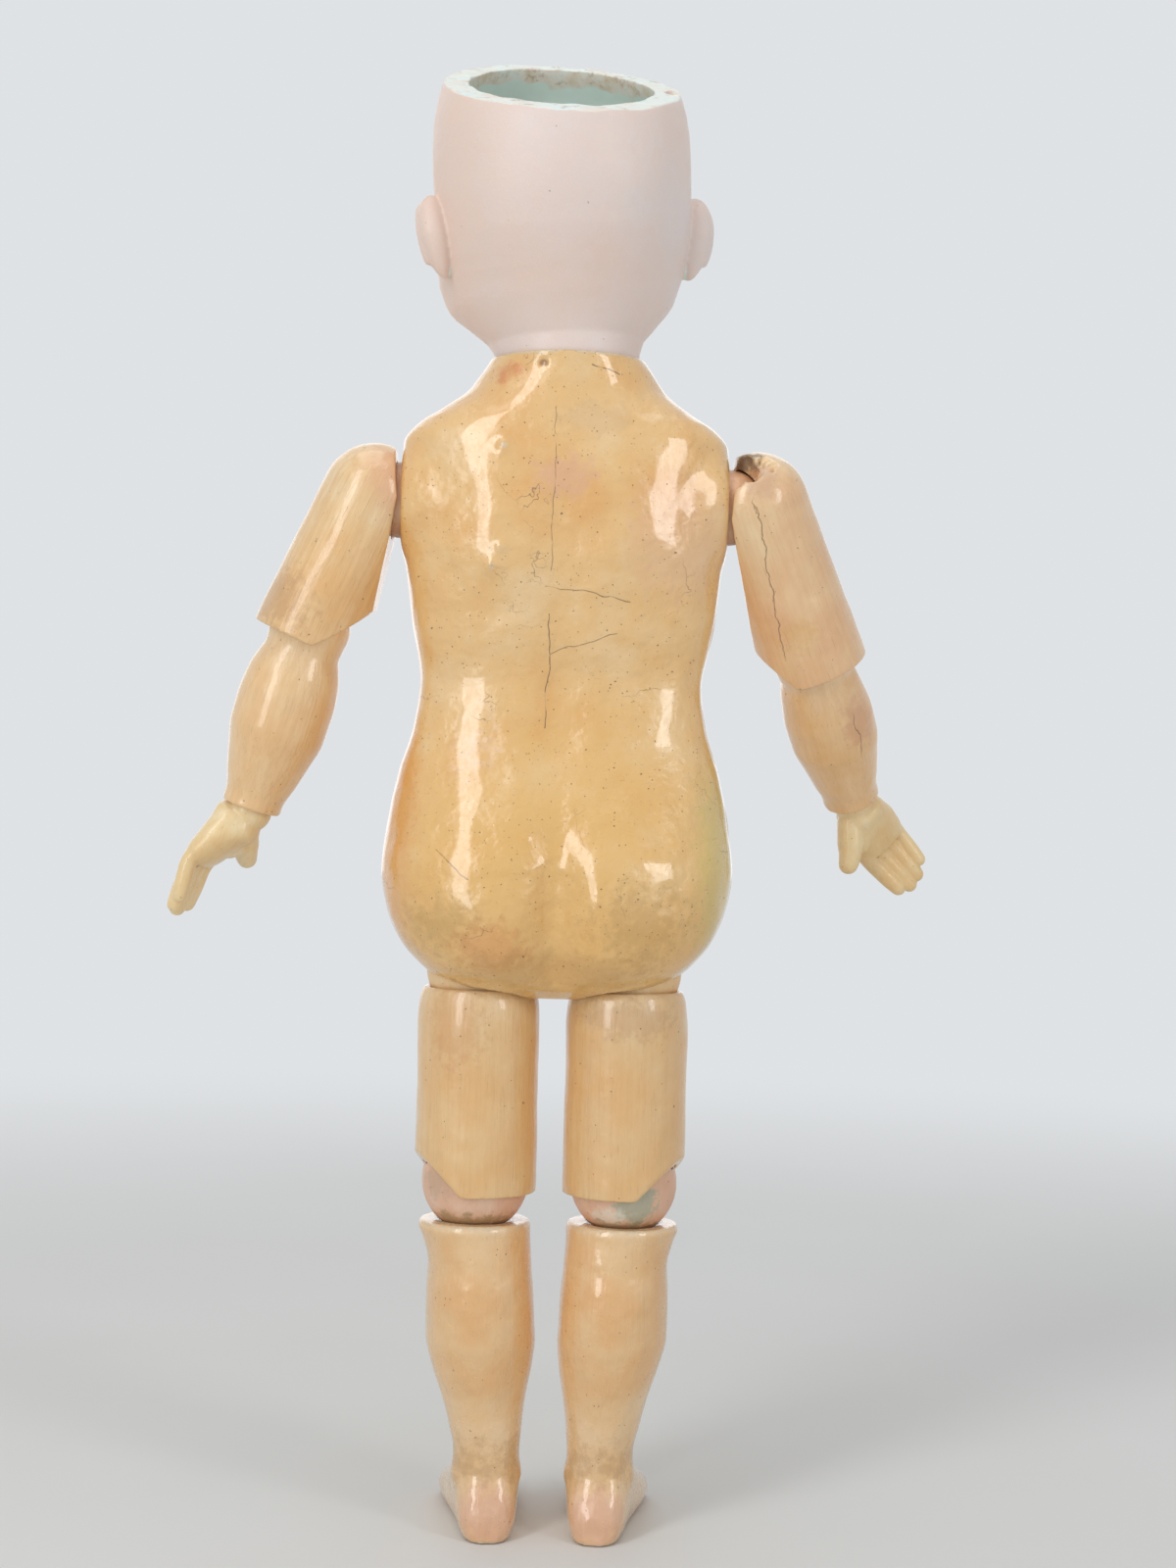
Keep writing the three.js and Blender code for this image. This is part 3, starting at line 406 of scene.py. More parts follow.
def makePits():  # dust pits and specks: few of the cells hold one
    inputs = [("Vector", vectorKind, None), ("Scale", number, 0.4), ("Size", number, 0.12), ("Share",
            number, 0.3)]
    tree, a, end = newGroup("dustPits", inputs, [("Mask", number)])
    bent = aim(tree, "ADD", a["Vector"], noiseVector(tree, a["Vector"], 0.9, 0.4))
    cells = cellsOf(tree, bent, a["Scale"])
    pick = tree.nodes.new("ShaderNodeSeparateColor")
    tree.links.new(cells.outputs["Color"], pick.inputs[0])
    kept = calc(tree, "LESS_THAN", pick.outputs[0], a["Share"])
    size = times(tree, a["Size"], calc(tree, "ADD", pick.outputs[1], 0.35))
    inside = between(tree, cells.outputs["Distance"], size, times(tree, size, 0.45))
    tree.links.new(times(tree, kept, inside), end["Mask"])
    return tree


def noiseVector(tree, vector, scale, amount=0.5):
    node = tree.nodes.new("ShaderNodeTexNoise")
    link(tree, vector, node.inputs["Vector"])
    node.inputs["Scale"].default_value = scale
    scaled = tree.nodes.new("ShaderNodeVectorMath")
    scaled.operation = "MULTIPLY_ADD"
    tree.links.new(node.outputs["Color"], scaled.inputs[0])
    scaled.inputs[1].default_value = (amount * 2,) * 3
    scaled.inputs[2].default_value = (-amount,) * 3
    return scaled.outputs[0]


def makeCrazing():  # a net of hair cracks, only here and there
    inputs = [("Vector", vectorKind, None), ("Scale", number, 0.12), ("Width", number, 0.02), ("Amount",
            number, 0.5)]
    tree, a, end = newGroup("hairCracks", inputs, [("Mask", number)])
    bent = aim(tree, "ADD", a["Vector"], noiseVector(tree, a["Vector"], 0.25, 3.0))
    cells = cellsOf(tree, bent, a["Scale"], "DISTANCE_TO_EDGE")
    line = between(tree, cells.outputs["Distance"], a["Width"], 0.0)
    where = noiseOf(tree, a["Vector"], 0.06, 2)
    edge = calc(tree, "SUBTRACT", 0.85, times(tree, a["Amount"], 0.5))
    there = between(tree, where, calc(tree, "SUBTRACT", edge, 0.08), calc(tree, "ADD", edge, 0.04))
    tree.links.new(times(tree, line, there), end["Mask"])
    return tree


def makeGrain():  # the length-wise grain of turned wood under paint
    inputs = [("Vector", vectorKind, None), ("Scale", number, 1.0), ("Stretch", number, 0.06)]
    tree, a, end = newGroup("woodGrain", inputs, [("Mask", number), ("Pores", number)])
    squeeze = tree.nodes.new("ShaderNodeCombineXYZ")
    for i in (0, 1):
        squeeze.inputs[i].default_value = 1.0
    tree.links.new(a["Stretch"], squeeze.inputs[2])
    long = aim(tree, "MULTIPLY", a["Vector"], squeeze.outputs[0])
    band = noiseOf(tree, long, a["Scale"], 3, 0.65)
    pores = noiseOf(tree, long, times(tree, a["Scale"], 4.5), 2, 0.6)
    tree.links.new(between(tree, band, 0.38, 0.66), end["Mask"])
    tree.links.new(between(tree, pores, 0.6, 0.75), end["Pores"])
    return tree


def makePatch():  # one soft-edged, ragged patch at a place on the piece
    inputs = [("Vector", vectorKind, None), ("Place", vectorKind, None), ("Reach", vectorKind, None),
              ("Ragged", number, 0.4), ("Soft", number, 0.4)]
    tree, a, end = newGroup("patch", inputs, [("Mask", number)])
    away = aim(tree, "DIVIDE", aim(tree, "SUBTRACT", a["Vector"], a["Place"]), a["Reach"])
    far = aim(tree, "LENGTH", away)
    fray = times(tree, calc(tree, "SUBTRACT", noiseOf(tree, a["Vector"], 0.45, 4, 0.65), 0.5),
                times(tree, a["Ragged"], 3))
    far = calc(tree, "ADD", far, fray)
    tree.links.new(between(tree, far, calc(tree, "ADD", 1.0, a["Soft"]), calc(tree, "SUBTRACT", 1.0,
            a["Soft"])),
                   end["Mask"])
    return tree


def makeWorn():  # where a mask of edges or hollows breaks up into wear or grime
    inputs = [("Vector", vectorKind, None), ("Where", number, 0.0), ("Amount", number, 0.5), ("Scale",
            number, 0.5)]
    tree, a, end = newGroup("brokenEdge", inputs, [("Mask", number)])
    torn = noiseOf(tree, a["Vector"], a["Scale"], 4, 0.7)
    level = calc(tree, "ADD", a["Where"], times(tree, calc(tree, "SUBTRACT", torn, 0.5), 1.1))
    low = calc(tree, "SUBTRACT", 1.05, a["Amount"])
    tree.links.new(between(tree, level, low, calc(tree, "ADD", low, 0.22)), end["Mask"])
    return tree


def makeSplit():  # one long crack down a piece, at an angle about its axis
    inputs = [("Vector", vectorKind, None), ("Angle", number, 0.0), ("Lean", number, 0.0), ("Round", number,
            11.0),
              ("Width", number, 0.2), ("Low", number, 0.0), ("High", number, 10.0)]
    tree, a, end = newGroup("longSplit", inputs, [("Mask", number)])
    part = tree.nodes.new("ShaderNodeSeparateXYZ")
    tree.links.new(a["Vector"], part.inputs[0])
    here = calc(tree, "ARCTAN2", part.outputs[1], part.outputs[0])
    sway = times(tree, calc(tree, "SUBTRACT", noiseOf(tree, a["Vector"], 0.22, 3), 0.5), 3.2)
    line = calc(tree, "ADD", a["Angle"], times(tree, part.outputs[2], a["Lean"]))
    off = times(tree, calc(tree, "SUBTRACT", here, line), a["Round"])
    off = calc(tree, "ABSOLUTE", calc(tree, "ADD", off, sway))
    mask = between(tree, off, a["Width"], 0.0)
    ends = times(tree, between(tree, part.outputs[2], a["Low"], calc(tree, "ADD", a["Low"], 3)),
                between(tree, part.outputs[2], a["High"], calc(tree, "SUBTRACT", a["High"], 3)))
    tree.links.new(times(tree, mask, ends), end["Mask"])
    return tree


def makeHairline():  # one wandering hair crack between two places, fainter here and there
    inputs = [("Vector", vectorKind, None), ("From", vectorKind, None), ("To", vectorKind, None),
              ("Width", number, 0.12), ("Sway", number, 1.2)]
    tree, a, end = newGroup("hairline", inputs, [("Mask", number)])
    bent = aim(tree, "MULTIPLY", noiseVector(tree, a["Vector"], 0.16, 1.0), (1, 0, 1))
    swayed = aim(tree, "SCALE", bent)
    tree.links.new(a["Sway"], swayed.node.inputs["Scale"])
    here = aim(tree, "ADD", aim(tree, "SUBTRACT", a["Vector"], a["From"]), swayed)
    along = aim(tree, "SUBTRACT", a["To"], a["From"])
    flat = aim(tree, "MULTIPLY", here, (1, 0, 1))
    flatLine = aim(tree, "MULTIPLY", along, (1, 0, 1))
    share = calc(tree, "DIVIDE", aim(tree, "DOT_PRODUCT", flat, flatLine), aim(tree, "DOT_PRODUCT",
            flatLine, flatLine),
                 clamp=True)
    nearest = aim(tree, "SCALE", flatLine)
    tree.links.new(share, nearest.node.inputs["Scale"])
    off = aim(tree, "DISTANCE", flat, nearest)
    line = between(tree, off, a["Width"], times(tree, a["Width"], 0.3))
    part = tree.nodes.new("ShaderNodeSeparateXYZ")
    tree.links.new(a["Vector"], part.inputs[0])
    broken = between(tree, noiseOf(tree, a["Vector"], 0.35, 2), 0.34, 0.5, 0.25, 1.0)
    line = times(tree, line, between(tree, part.outputs[1], 2.0, 6.0))
    tree.links.new(times(tree, line, broken), end["Mask"])
    return tree


handTone, dustPits, hairCracks, hairline = makeHandTone(), makePits(), makeCrazing(), makeHairline()
woodGrain, patchGroup, brokenEdge, longSplit = makeGrain(), makePatch(), makeWorn(), makeSplit()


def toned(tree, where, scale, base, warm, pale, contrast):
    return useGroup(tree, handTone, Vector=where, Scale=scale, Base=base, Warm=warm, Pale=pale,
                    Contrast=contrast)["Color"]


def attribute(tree, name):
    node = tree.nodes.new("ShaderNodeAttribute")
    node.attribute_name = name
    return node.outputs["Fac"]


def newMaterial(name, finish):
    made = bpy.data.materials.new(name)
    made.use_nodes = True
    tree = made.node_tree
    shader = tree.nodes["Principled BSDF"]
    shader.inputs["Roughness"].default_value = finish.get("roughness", 0.5)
    shader.inputs["Metallic"].default_value = finish.get("metallic", 0.0)
    shader.inputs["Coat Weight"].default_value = finish.get("coat", 0.0)
    shader.inputs["Coat Roughness"].default_value = finish.get("coatRoughness", 0.1)
    shader.inputs["Subsurface Weight"].default_value = finish.get("under", 0.0)
    shader.inputs["Subsurface Radius"].default_value = (1.0, 0.45, 0.25)
    shader.inputs["Subsurface Scale"].default_value = 0.0012
    if finish.get("carried"):  # a CAD node has no coordinates of its own
        where = tree.nodes.new("ShaderNodeTexCoord").outputs["Object"]
        where = aim(tree, "MULTIPLY", where, (1000, 1000, 1000))
    else:
        own = tree.nodes.new("ShaderNodeAttribute")
        own.attribute_name = "own"
        where = own.outputs["Vector"]
    return made, tree, shader, where


def giveRelief(tree, shader, heights):  # each height: a value and its depth in millimetres
    total = 0.0
    for value, depth in heights:
        total = calc(tree, "MULTIPLY_ADD", value, depth, total)
    bump = tree.nodes.new("ShaderNodeBump")
    bump.inputs["Distance"].default_value = 0.001
    bump.inputs["Strength"].default_value = 1.0
    tree.links.new(total, bump.inputs["Height"])
    tree.links.new(bump.outputs[0], shader.inputs["Normal"])


# Varnished flesh paint over wood or moulded composition.
def varnishedPaint(name, finish):
    made, tree, shader, place = newMaterial(name, finish)
    tone = toned(tree, place, finish.get("toneScale", 0.05), finish["base"], finish["warm"], finish["pale"],
            finish.get("contrast", 0.8))
    heights = [(noiseOf(tree, place, 0.16, 2), finish.get("waver", 0.5)),
               (noiseOf(tree, place, 0.9, 3, 0.6), finish.get("brush", 0.05))]
    rough = finish["roughness"]
    if "grain" in finish:
        grain = useGroup(tree, woodGrain, Vector=place, Scale=finish.get("grainScale", 0.8), Stretch=0.05)
        tone = layer(tree, tone, grain["Mask"], finish["grain"], finish["grainColour"])
        tone = layer(tree, tone, grain["Pores"], finish["grain"] * 0.8, finish["grime"])
        heights.append((grain["Mask"], 0.05))
    for spot in finish.get("patches", []):
        mask = useGroup(tree, patchGroup, Vector=place, Place=spot["at"], Reach=spot["reach"],
                        Ragged=spot.get("ragged", 0.4), Soft=spot.get("soft", 0.45))["Mask"]
        mask = times(tree, mask, spot.get("strength", 0.7))
        tone = over(tree, mask, tone, spot["colour"])
        if "deep" in spot:
            heights.append((mask, -spot["deep"]))
        if "rough" in spot:
            rough = calc(tree, "ADD", rough, times(tree, mask, spot["rough"]))
    for split in finish.get("splits", []):
        mask = useGroup(tree, longSplit, Vector=place, Angle=split["angle"], Lean=split.get("lean", 0.0),
                        Round=split["round"], Width=split.get("width", 0.35), Low=split["low"],
                        High=split["high"])["Mask"]
        tone = layer(tree, tone, mask, split.get("strength", 0.8), finish["grime"])
        heights.append((mask, -0.25))
    cracks = useGroup(tree, hairCracks, Vector=place, Scale=finish.get("crackScale", 0.1),
                      Width=finish.get("crackWidth", 0.012), Amount=finish.get("cracks", 0.4))["Mask"]
    tone = layer(tree, tone, cracks, 0.65, finish["grime"])
    heights.append((cracks, -0.06))
    for start, stop, width, strength in finish.get("hairlines", []):
        mask = useGroup(tree, hairline, Vector=place, From=start, To=stop, Width=width, Sway=1.3)["Mask"]
        tone = layer(tree, tone, mask, strength, finish["grime"])
        heights.append((mask, -0.08))
    for scale, size, share, strength in finish.get("pits", [(0.35, 0.08, 0.3, 0.7), (0.9, 0.15, 0.2,
            0.65)]):
        pits = useGroup(tree, dustPits, Vector=place, Scale=scale, Size=size, Share=share)["Mask"]
        tone = layer(tree, tone, pits, strength, finish["grime"])
        heights.append((pits, -0.12))
    grime = useGroup(tree, brokenEdge, Vector=place, Where=attribute(tree, "hollow"),
            Amount=finish.get("dirt", 0.45),
                     Scale=0.6)["Mask"]
    tone = layer(tree, tone, grime, 0.6, finish["grime"])
    worn = useGroup(tree, brokenEdge, Vector=place, Where=attribute(tree, "edge"), Amount=finish.get("wear",
            0.4),
                    Scale=0.8)["Mask"]
    tone = layer(tree, tone, worn, 0.75, finish["bare"])
    heights.append((worn, -0.08))
    rough = calc(tree, "ADD", rough, times(tree, worn, 0.3))
    rough = calc(tree, "ADD", rough, between(tree, noiseOf(tree, place, 0.12, 4, 0.7), 0.4, 0.75, 0.0,
            0.14), clamp=True)
    tree.links.new(tone, shader.inputs["Base Color"])
    tree.links.new(rough, shader.inputs["Roughness"])
    giveRelief(tree, shader, heights)
    return made


print("torso")
torso = {
    "base": 120.5, "tall": 142.1, "halfWide": 39.2, "front": 25, "back": 26.5, "wall": 3,
    "spine": 1.3, "cleft": 7, "neckRise": 0.9, "neckRound": 16, "neckHole": 8.7,
    "shoulderInset": 2.7, "shoulderDrop": 31.9, "shoulderRound": 8.5, "bossOut": 36.4,
    "legGap": 5.7, "hipLift": 6, "hipRound": 12, "hipBend": 65, "fit": 0.3, "voxel": 0.55,
    "rows": [
        (0.0, 0.3, 0.2, 0.42), (0.018, 0.615, 0.42, 0.68), (0.051, 0.781, 0.62, 0.87), (0.088, 0.893, 0.76,
                0.96),
        (0.134, 0.962, 0.88, 1.0), (0.196, 1.0, 0.96, 0.98), (0.257, 0.974, 1.0, 0.86), (0.348, 0.913, 0.98,
                0.64),
        (0.424, 0.832, 0.88, 0.52), (0.489, 0.799, 0.8, 0.49), (0.577, 0.857, 0.86, 0.6), (0.644, 0.885,
                0.9, 0.68),
        (0.707, 0.911, 0.92, 0.72), (0.799, 0.916, 0.9, 0.72), (0.866, 0.923, 0.86, 0.69), (0.894, 0.85,
                0.84, 0.66),
        (0.915, 0.732, 0.82, 0.64), (0.946, 0.575, 0.76, 0.63), (0.978, 0.49, 0.71, 0.635), (1.0, 0.439,
                0.688, 0.649),
    ],
}
arm = {
    "long": {"left": 33.2, "right": 38.3}, "topRound": 11.6, "endRound": 12.2, "sideset": 6.5, "raise": 1,
    "elbowRound": 9.2, "tab": 3.2, "notch": 9.5, "notchStart": {"left": -0.2, "right": 0.15},
    "forearmLong": 43.5, "forearmRound": {"left": 11, "right": 10.4}, "wristRound": 6.8, "wristKnob": 5,
    "out": {"left": 24.3, "right": 21.8}, "ahead": {"left": 2, "right": 22}, "bent": {"left": 7.5,
            "right": 15.5},
    "liftUp": 6, "liftDown": 12, "elasticTilt": 24, "slotBend": 64, "notchMore": {"left": 3, "right": 0},
            "notchTurn": {"left": 62, "right": 15}, "handOut": {"left": 28, "right": 15},
    "handTurn": {"left": -15, "right": -118}, "voxel": 0.36,
}
leg = {
    "thighRound": 13.75, "top": 4.4, "long": 47.6, "tab": 2.4, "notch": 9.4, "kneeRound": 12,
            "notchTurn": 75,
    "calfRound": 12.5, "ankleInset": 3.9, "footFront": 36, "heel": 10.5, "footHalfWide": 9.2, "instep": 20,
    "toeOut": 6, "slotBend": 62, "voxel": 0.4,
}
bore = {"wide": 2.9, "cord": 1.65, "hook": 1.05, "pocket": 3.4}  # radii of the runs for elastic and wire
torsoTop = torso["base"] + torso["tall"]
neckZ = torsoTop + torso["neckRise"]
shoulderX = torso["halfWide"] - torso["shoulderInset"]
shoulderZ = torsoTop - torso["shoulderDrop"]
hipX = leg["thighRound"] + torso["legGap"] / 2
hipZ = torso["base"] + torso["hipLift"]
middle = Matrix.Translation(pivots["head_turn"] - Vector((0, 0, neckZ)))


def torsoRing(row, inset, count):
    rise, wide, front, back = row
    square = 0.86 + 0.14 * float(ease(0.88, 0.96, rise))
    ring = oval(0, 0, torso["base"] + rise * torso["tall"], wide * torso["halfWide"] - inset,
                front * torso["front"] - inset, back * torso["back"] - inset, square, count)
    spine = torso["spine"] * float(ease(0.3, 0.42, rise)) * (1 - float(ease(0.7, 0.85, rise)))
    cleft = torso["cleft"] * (1 - float(ease(0.1, 0.36, rise))) * float(ease(-0.02, 0.06, rise))
    x, y = ring[:, 0], ring[:, 1]
    across = np.abs(x) / torso["halfWide"]
    dip = spine * bell(across, 0.14) + cleft * (0.2 * bell(across, 0.08) + 0.8 * bell(across, 0.2))
    ring[:, 1] = y - np.where(y > 0, np.minimum(y * 0.6, dip), 0)
    if inset == 0:  # chest, belly and navel, shoulder blades
        z = ring[:, 2]
        front = np.where(y < 0, 1, 0)
        navel = 1.6 * bell(x, 1.9) * bell(z - torso["base"] - 0.33 * torso["tall"], 2.3)
        chest = 0.7 * bell(x, 2.4) * float(ease(0.62, 0.7, rise)) * (1 - float(ease(0.78, 0.86, rise)))
        fold = 0.6 * bell(z - torso["base"] - 0.2 * torso["tall"] + np.abs(x) * 0.28, 2.2) * ease(4, 10,
                np.abs(x))
        ring[:, 1] += front * (navel + chest + fold * (1 - ease(24, 32, np.abs(x))))
        blade = 0.8 * bell(np.abs(x) - 15, 6.5) * bell(z - torso["base"] - 0.72 * torso["tall"], 11)
        under = 0.5 * bell(np.abs(x) - 14, 9) * bell(z - torso["base"] - 0.6 * torso["tall"], 4)
        ring[:, 1] += (1 - front) * (blade - under)
        near = ease(15, 9, np.hypot(ring[:, 1], z - shoulderZ))
        short = np.maximum(torso["bossOut"] - np.abs(ring[:, 0]), 0)
        ring[:, 0] += np.sign(ring[:, 0]) * short * near
    return ring


def torsoLoft(inset, count, low=0, high=None):
    rows = throughRows(torso["rows"], 130)
    rows = [r for r in rows if low <= r[0] <= (high or 1)]
    rings = [torsoRing(r, inset, count) for r in rows]
    return loft("torso", rings, (0, 0, rings[0][0][2]), (0, 0, rings[-1][0][2]))


def makeTorso():
    body = torsoLoft(0, 200)
    carve(body, torsoLoft(torso["wall"], 96, 0.05, 0.945))
    cups = ballOf(torso["neckRound"] + torso["fit"] + torso["wall"], (0, 0, neckZ))
    for way in (-1, 1):
        addTo(cups, ballOf(torso["shoulderRound"] + torso["fit"] + torso["wall"], (way * shoulderX, 0,
                shoulderZ)))
        addTo(cups, ballOf(torso["hipRound"] + torso["fit"] + torso["wall"], (way * hipX, 0, hipZ)))
    combine(cups, torsoLoft(0, 96), "INTERSECT")
    addTo(body, cups)
    carve(body, ballOf(torso["neckRound"] + torso["fit"], (0, 0, neckZ)),
          rodOf((0, 0, neckZ), (0, 0, neckZ - 25), torso["neckHole"]))
    for way in (-1, 1):
        carve(body, ballOf(torso["shoulderRound"] + torso["fit"], (way * shoulderX, 0, shoulderZ)),
              rodOf((way * shoulderX, 0, shoulderZ), (way * (shoulderX - 16), 0, shoulderZ), bore["wide"]),
              ballOf(torso["hipRound"] + torso["fit"], (way * hipX, 0, hipZ)),
              rodOf((way * hipX, 0, hipZ), (way * hipX, 0, hipZ + 19), bore["wide"]))
        for bend in np.linspace(0, torso["hipBend"], 12):
            down = Vector((0, -math.sin(rad(bend)), -math.cos(rad(bend))))
            start = Vector((way * hipX, 0, hipZ)) + down * (leg["top"] - 0.7)
            carve(body, rodOf(start, start + down * 60, leg["thighRound"] + 0.5))
    soften(body, torso["voxel"], 3)
    points, normals = pointsOf(body)
    skinSide = points[:, 0] * normals[:, 0] + points[:, 1] * normals[:, 1] > 0
    lift = waver(points, 17, 0.42, 3) + waver(points, 6, 0.12, 4)
    seam = bell(points[:, 1], 0.9) * (np.abs(points[:, 0]) > 20)
    lift += seam * (0.16 + waver(points, 9, 0.16, 6))
    for (x, z), wide, high in [((13.3, 241), 1.5, 0.7), ((15.3, 215), 2.2, 0.9), ((-9, 232), 1.6, 0.2),
                               ((13.5, 219), 1.2, 0.5), ((-24, 205), 1.3, 0.25), ((6.5, 156), 1.2, 0.3)]:
        near = bell(points[:, 0] - x, wide) * bell(points[:, 2] - z, wide) * (points[:, 1] > 0)
        lift += near * high
    lift -= bell(points[:, 0] - 5.3, 1.0) * bell(points[:, 2] - 259.6, 0.9) * (points[:, 1] > 0) * 0.45
    lift *= np.where(skinSide, 1, 0) * ease(torsoTop + 0.5, torsoTop - 3, points[:, 2])
    setPoints(body, points + normals * lift[:, None])
    markEdges(body, 5)
    return body


torsoFinish = {
    "base": colour(233, 190, 128), "warm": colour(226, 166, 92), "pale": colour(238, 206, 158),
    "grime": colour(96, 66, 40), "bare": colour(214, 196, 166), "roughness": 0.22, "coat": 0.85,
    "coatRoughness": 0.07, "contrast": 0.75, "waver": 0.9, "brush": 0.11, "cracks": 0.4, "crackScale": 0.06,
    "crackWidth": 0.006, "dirt": 0.5, "wear": 0.42,
    "pits": [(0.32, 0.085, 0.35, 0.75), (0.8, 0.14, 0.3, 0.75), (1.6, 0.22, 0.14, 0.6)],
    "hairlines": [
        ((3.5, 0, 211), (-14.7, 0, 208.3), 0.16, 0.6), ((2.6, 0, 205), (3.0, 0, 180.3), 0.2, 0.7),
        ((2.5, 0, 196), (-12, 0, 201.5), 0.16, 0.6), ((2.2, 0, 250), (2.4, 0, 214), 0.14, 0.45),
        ((-5.5, 0, 259.3), (-11.4, 0, 257.8), 0.2, 0.75), ((26, 0, 153), (19, 0, 147), 0.18, 0.5),
    ],
    "patches": [
        {"at": (0, 16, 235), "reach": (6, 12, 4.5), "colour": colour(222, 168, 144), "strength": 0.45,
                "ragged": 0.8},
        {"at": (-25, 14, 222), "reach": (11, 14, 12), "colour": colour(228, 182, 148), "strength": 0.4,
                "ragged": 0.6},
        {"at": (-6, 16, 247), "reach": (8, 8, 3.5), "colour": colour(190, 152, 112), "strength": 0.22,
                "ragged": 1.2},
        {"at": (0, 16, 146), "reach": (46, 26, 34), "colour": colour(228, 180, 98), "strength": 0.55,
                "soft": 0.7},
        {"at": (-36, 4, 150), "reach": (6, 20, 24), "colour": colour(204, 184, 100), "strength": 0.6},
        {"at": (-19, 24, 138), "reach": (9, 10, 7), "colour": colour(176, 136, 78), "strength": 0.35,
                "ragged": 1.3,
         "soft": 0.7},
        {"at": (24, 20, 137), "reach": (8, 12, 5), "colour": colour(164, 130, 72), "strength": 0.3,
                "ragged": 1.3,
         "soft": 0.7},
        {"at": (14, 24, 132), "reach": (8, 10, 5), "colour": colour(214, 140, 76), "strength": 0.45,
                "ragged": 0.8},
        {"at": (36, 6, 165), "reach": (5, 16, 40), "colour": colour(224, 150, 74), "strength": 0.5},
        {"at": (20, 22, 178), "reach": (9, 9, 9), "colour": colour(232, 196, 176), "strength": 0.4,
                "ragged": 0.8},
        {"at": (14, 18, 258), "reach": (5, 8, 2.4), "colour": colour(206, 106, 46), "strength": 0.6,
                "ragged": 0.7},
        {"at": (5.3, 15, 259.6), "reach": (1.0, 4, 0.8), "colour": colour(146, 100, 58), "strength": 0.75,
                "soft": 0.4},
        {"at": (0, 26, 126), "reach": (26, 14, 5), "colour": colour(190, 140, 74), "strength": 0.5},
    ],
}
torsoBody = makeTorso()
torsoBack = torsoBody.copy()
torsoBack.data = torsoBody.data.copy()
bpy.context.scene.collection.objects.link(torsoBack)
torsoPaint = varnishedPaint("torsoPaint", torsoFinish)
for half, name, node, keepBack in ((torsoBody, "torsoFrontSkin", "torso_front", False),
                                   (torsoBack, "torsoBackSkin", "torso_back", True)):
    bm = bmesh.new()
    bm.from_mesh(half.data)
    bmesh.ops.bisect_plane(bm, geom=bm.verts[:] + bm.edges[:] + bm.faces[:], plane_co=(0, 0, 0),
            plane_no=(0, 1, 0),
                           clear_inner=keepBack, clear_outer=not keepBack)
    bm.to_mesh(half.data)
    bm.free()
    place(half, name, middle, "torso", [node], torsoPaint)


print("head")
head = {
    "tall": 76, "halfWide": 28.9, "front": 30.5, "back": 28.5, "wall": 3.4, "crownRise": 61.6,
            "crownSlope": 25,
    "neckRound": 16, "neckHole": 7.6, "buttonRound": 12.25, "yaw": 12, "roll": -3.4,
    "earTall": 19, "earDeep": 11, "earThick": 8.4, "eyeRound": 6.4, "eyeApart": 21, "eyeRise": 30.5,
    "eyeBackset": 16.8, "eyeDent": 1.2, "lidWide": 11.6, "lidTall": 6.6, "mouthWide": 8.4, "mouthTall": 2.6,
    "mouthRise": 13.6, "noseOut": 4.2, "lipOut": 1.3, "cheekOut": 1.4, "chinOut": 1.6, "jawAhead": 7,
    "lip": 2.3, "voxel": 0.36,
    "rows": [
        (0.046, 0.609, 0.505, 0.545), (0.104, 0.754, 0.69, 0.615), (0.138, 0.837, 0.895, 0.66),
        (0.16, 0.88, 0.93, 0.69), (0.184, 0.907, 0.938, 0.72), (0.207, 0.928, 0.934, 0.75),
        (0.23, 0.948, 0.928, 0.782), (0.253, 0.958, 0.921, 0.812), (0.276, 0.969, 0.911, 0.842),
        (0.302, 0.974, 0.903, 0.874), (0.329, 0.979, 0.895, 0.905), (0.355, 0.983, 0.888, 0.926),
        (0.382, 0.986, 0.885, 0.947), (0.408, 0.99, 0.888, 0.965), (0.434, 0.993, 0.895, 0.979),
        (0.464, 0.996, 0.918, 0.99), (0.493, 0.998, 0.944, 0.996), (0.553, 1.0, 0.98, 1.0),
        (0.618, 0.997, 0.997, 0.989), (0.684, 0.983, 0.997, 0.961), (0.75, 0.948, 0.974, 0.912),
        (0.809, 0.9, 0.928, 0.842), (0.868, 0.837, 0.869, 0.754), (0.928, 0.754, 0.787, 0.649),
        (0.987, 0.651, 0.689, 0.526), (1.04, 0.519, 0.557, 0.386),
    ],
}
headPlace = (Matrix.Translation(pivots["head_turn"]) @ Matrix.Rotation(rad(head["yaw"]), 4, "Z")
             @ Matrix.Rotation(-rad(head["roll"]), 4, "Y"))


